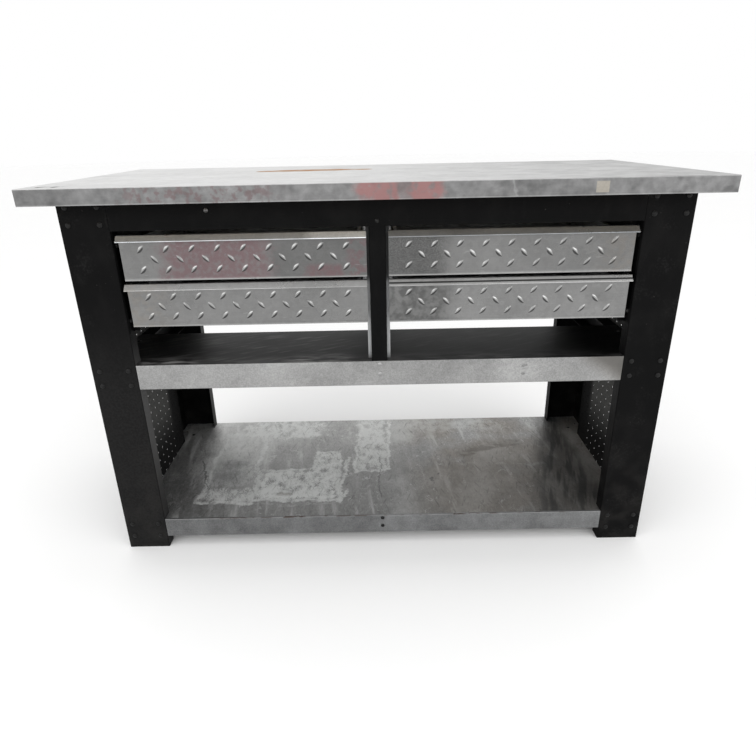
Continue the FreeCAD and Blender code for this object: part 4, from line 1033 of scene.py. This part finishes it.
def tread_sheet(bm, half_width, z_low, z_high, y, places):
    """Flat sheet between two heights with every pad pressed out of it towards -Y."""
    points = [Vector(corner) for corner in ((-half_width, z_low), (half_width, z_low),
                                            (half_width, z_high), (-half_width, z_high))]
    sheet_corners = len(points)
    edges = ring_edges(0, sheet_corners)
    for centre, turn in places:
        edges += ring_edges(len(points), PAD_STEPS)
        points += [centre + turn @ pad_point(angle, 1.0)[0] for angle in PAD_BEARINGS]
    flat, _, faces, origins, _, _ = delaunay_2d_cdt(points, edges, [], INSIDE_OF_EDGES, SLIVER)
    verts = [bm.verts.new((point.x, y, point.y)) for point in flat]
    pad_of = []
    for origin in origins:
        on_pad = origin and origin[0] >= sheet_corners
        pad_of.append((origin[0] - sheet_corners) // PAD_STEPS if on_pad else None)
    for face in faces:
        touched = {pad_of[i] for i in face}
        if len(touched) > 1 or None in touched:
            bm.faces.new([verts[i] for i in face])
    for centre, turn in places:
        press_pad(bm, centre, turn, y)


def add_tab(bm, wall, box_half, height):
    """Riveted tab behind the front, inside one wall of the drawer box, with its free corners cut off."""
    x0 = wall * (box_half - BOX_SHEET)
    x1 = x0 - wall * SHEET
    y0, y1 = SHEET, SHEET + TAB_LENGTH
    z0, z1 = TAB_RISE, height - TAB_DROP
    corners = [(y0, z0), (y1 - TAB_CUT, z0), (y1, z0 + TAB_CUT),
               (y1, z1 - TAB_CUT), (y1 - TAB_CUT, z1), (y0, z1)]
    rows = [[bm.verts.new((x, y, z)) for y, z in corners] for x in (x0, x1)]
    for row in rows:
        bm.faces.new(row)
    for i, j in ring_edges(0, len(corners)):
        bm.faces.new((rows[0][i], rows[0][j], rows[1][j], rows[1][i]))


def drawer_front_mesh(half_width, height, box_half):
    """Closed mesh of one drawer front about the middle of its lower edge, face at y = 0."""
    bm = bmesh.new()
    line = front_line(height)
    steps = range(len(line) - 1)
    face = max(steps, key=lambda i: (line[i + 1] - line[i]).length)
    sides = (offset_line(line, SHEET / 2), offset_line(line, -SHEET / 2))
    ends = [[[bm.verts.new((x, point.x, point.y)) for point in side] for side in sides]
            for x in (-half_width, half_width)]
    places = pad_places(half_width)
    for side, left, right in zip(sides, *ends):
        for i in steps:
            if i == face:
                tread_sheet(bm, half_width, side[i].y, side[i + 1].y, side[i].x, places)
            else:
                bm.faces.new((left[i], right[i], right[i + 1], left[i + 1]))
    for outer, inner in ends:
        for i in steps:
            bm.faces.new((outer[i], inner[i], inner[i + 1], outer[i + 1]))
    (left_outer, left_inner), (right_outer, right_inner) = ends
    for i in (0, -1):
        bm.faces.new((left_outer[i], right_outer[i], right_inner[i], left_inner[i]))
    for wall in (-1, 1):
        add_tab(bm, wall, box_half, height)
    bmesh.ops.remove_doubles(bm, verts=bm.verts, dist=MERGE_DISTANCE)
    bmesh.ops.dissolve_degenerate(bm, edges=bm.edges, dist=SLIVER)
    bmesh.ops.recalc_face_normals(bm, faces=bm.faces)
    mesh = bpy.data.meshes.new("drawer_front")
    bm.to_mesh(mesh)
    bm.free()
    return mesh


def add_drawer_fronts():
    """One detailed front on each drawer, in the place of its CAD front."""
    for place in DRAWER_PLACES:
        node = f"{place}_drawer_front"
        low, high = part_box(node)
        box_low, box_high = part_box(f"{place}_drawer_box")
        mesh = drawer_front_mesh((high.x - low.x) / 2, high.z - low.z, (box_high.x - box_low.x) / 2)
        mesh.transform(Matrix.Translation(((low.x + high.x) / 2, FACE_Y, low.z)))
        mesh.polygons.foreach_set("use_smooth", [True] * len(mesh.polygons))
        mesh.set_sharp_from_angle(angle=SHARP_ANGLE)
        mesh.materials.append(FINISHES["tread_steel"])
        front = bpy.data.objects.new(f"{place}_tread_front", mesh)
        bpy.context.scene.collection.objects.link(front)
        even = front.modifiers.new("even_normals", "WEIGHTED_NORMAL")
        even.keep_sharp = True
        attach(front, f"{place}_drawer")
        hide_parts(node)


# Floor, light and camera

FLOOR_RADIUS = 30.0
FLOOR_SIDES = 96
FLOOR_GAP = 0.0005
FLOOR_TINT = (1.0, 1.0, 0.998, 1.0)
SURROUND_STRENGTH = 1.0
LAMP_ASIDE = 2.2
LAMP_Y = -3.1
LAMP_Z = 2.1
LAMP_TARGET = Vector((0.0, -0.3, 0.8))
LAMP_SIZE = (3.5, 1.2)
LAMP_POWER = 36.0
CAMERA_PLACE = Vector((-0.00195, -1.62749, 1.05319))
CAMERA_YAW = math.radians(-0.124)
CAMERA_PITCH = math.radians(-22.64)
CAMERA_ROLL = math.radians(-1.19)
CAMERA_LENS = 28.0
CAMERA_SENSOR = 36.0


def add_floor():
    """Wide pale floor under the bench."""
    finish = Finish("pale_floor")
    cloud = finish.noise(0.9, 4.0)
    material = finish.surface({
        "Base Color": finish.tint(0.982 + 0.015 * cloud, FLOOR_TINT),
        "Roughness": 0.62 + 0.1 * cloud,
        "Specular IOR Level": 0.2,
    })
    bm = bmesh.new()
    bmesh.ops.create_circle(bm, cap_ends=True, radius=FLOOR_RADIUS, segments=FLOOR_SIDES)
    mesh = bpy.data.meshes.new("floor")
    bm.to_mesh(mesh)
    bm.free()
    mesh.materials.append(material)
    floor = bpy.data.objects.new("floor", mesh)
    floor.location.z = cad_box[0].z - FLOOR_GAP
    bpy.context.scene.collection.objects.link(floor)


def add_lamp(name, x):
    """Wide soft lamp before the bench, aimed at its drawers."""
    lamp = bpy.data.lights.new(name, "AREA")
    lamp.shape = "RECTANGLE"
    lamp.size, lamp.size_y = LAMP_SIZE
    lamp.energy = LAMP_POWER
    place = Vector((x, LAMP_Y, LAMP_Z))
    holder = bpy.data.objects.new(name, lamp)
    holder.location = place
    holder.rotation_euler = (LAMP_TARGET - place).to_track_quat("-Z", "Y").to_euler()
    bpy.context.scene.collection.objects.link(holder)


def add_light():
    """White surround and two wide soft lamps before the bench, one on each side of the camera."""
    world = bpy.data.worlds.new("studio_surround")
    world.use_nodes = True
    background = world.node_tree.nodes["Background"]
    background.inputs["Color"].default_value = NEUTRAL
    background.inputs["Strength"].default_value = SURROUND_STRENGTH
    bpy.context.scene.world = world
    add_lamp("left_soft", -LAMP_ASIDE)
    add_lamp("right_soft", LAMP_ASIDE)


def add_camera():
    """Camera that looks down on the bench from the front, a little off level."""
    ahead = Vector((math.sin(CAMERA_YAW), math.cos(CAMERA_YAW), 0.0))
    level = Vector((math.cos(CAMERA_YAW), -math.sin(CAMERA_YAW), 0.0))
    forward = ahead * math.cos(CAMERA_PITCH) + Vector((0.0, 0.0, math.sin(CAMERA_PITCH)))
    upright = level.cross(forward)
    right = level * math.cos(CAMERA_ROLL) + upright * math.sin(CAMERA_ROLL)
    up = upright * math.cos(CAMERA_ROLL) - level * math.sin(CAMERA_ROLL)
    lens = bpy.data.cameras.new("bench_camera")
    lens.lens = CAMERA_LENS
    lens.sensor_width = CAMERA_SENSOR
    camera = bpy.data.objects.new("bench_camera", lens)
    turn = Matrix((right, up, -forward)).transposed().to_4x4()
    camera.matrix_world = Matrix.Translation(CAMERA_PLACE) @ turn
    bpy.context.scene.collection.objects.link(camera)
    bpy.context.scene.camera = camera


dress_cad_nodes()
add_drawer_fronts()
add_floor()
add_light()
add_camera()
bpy.context.scene.view_settings.view_transform = "Standard"
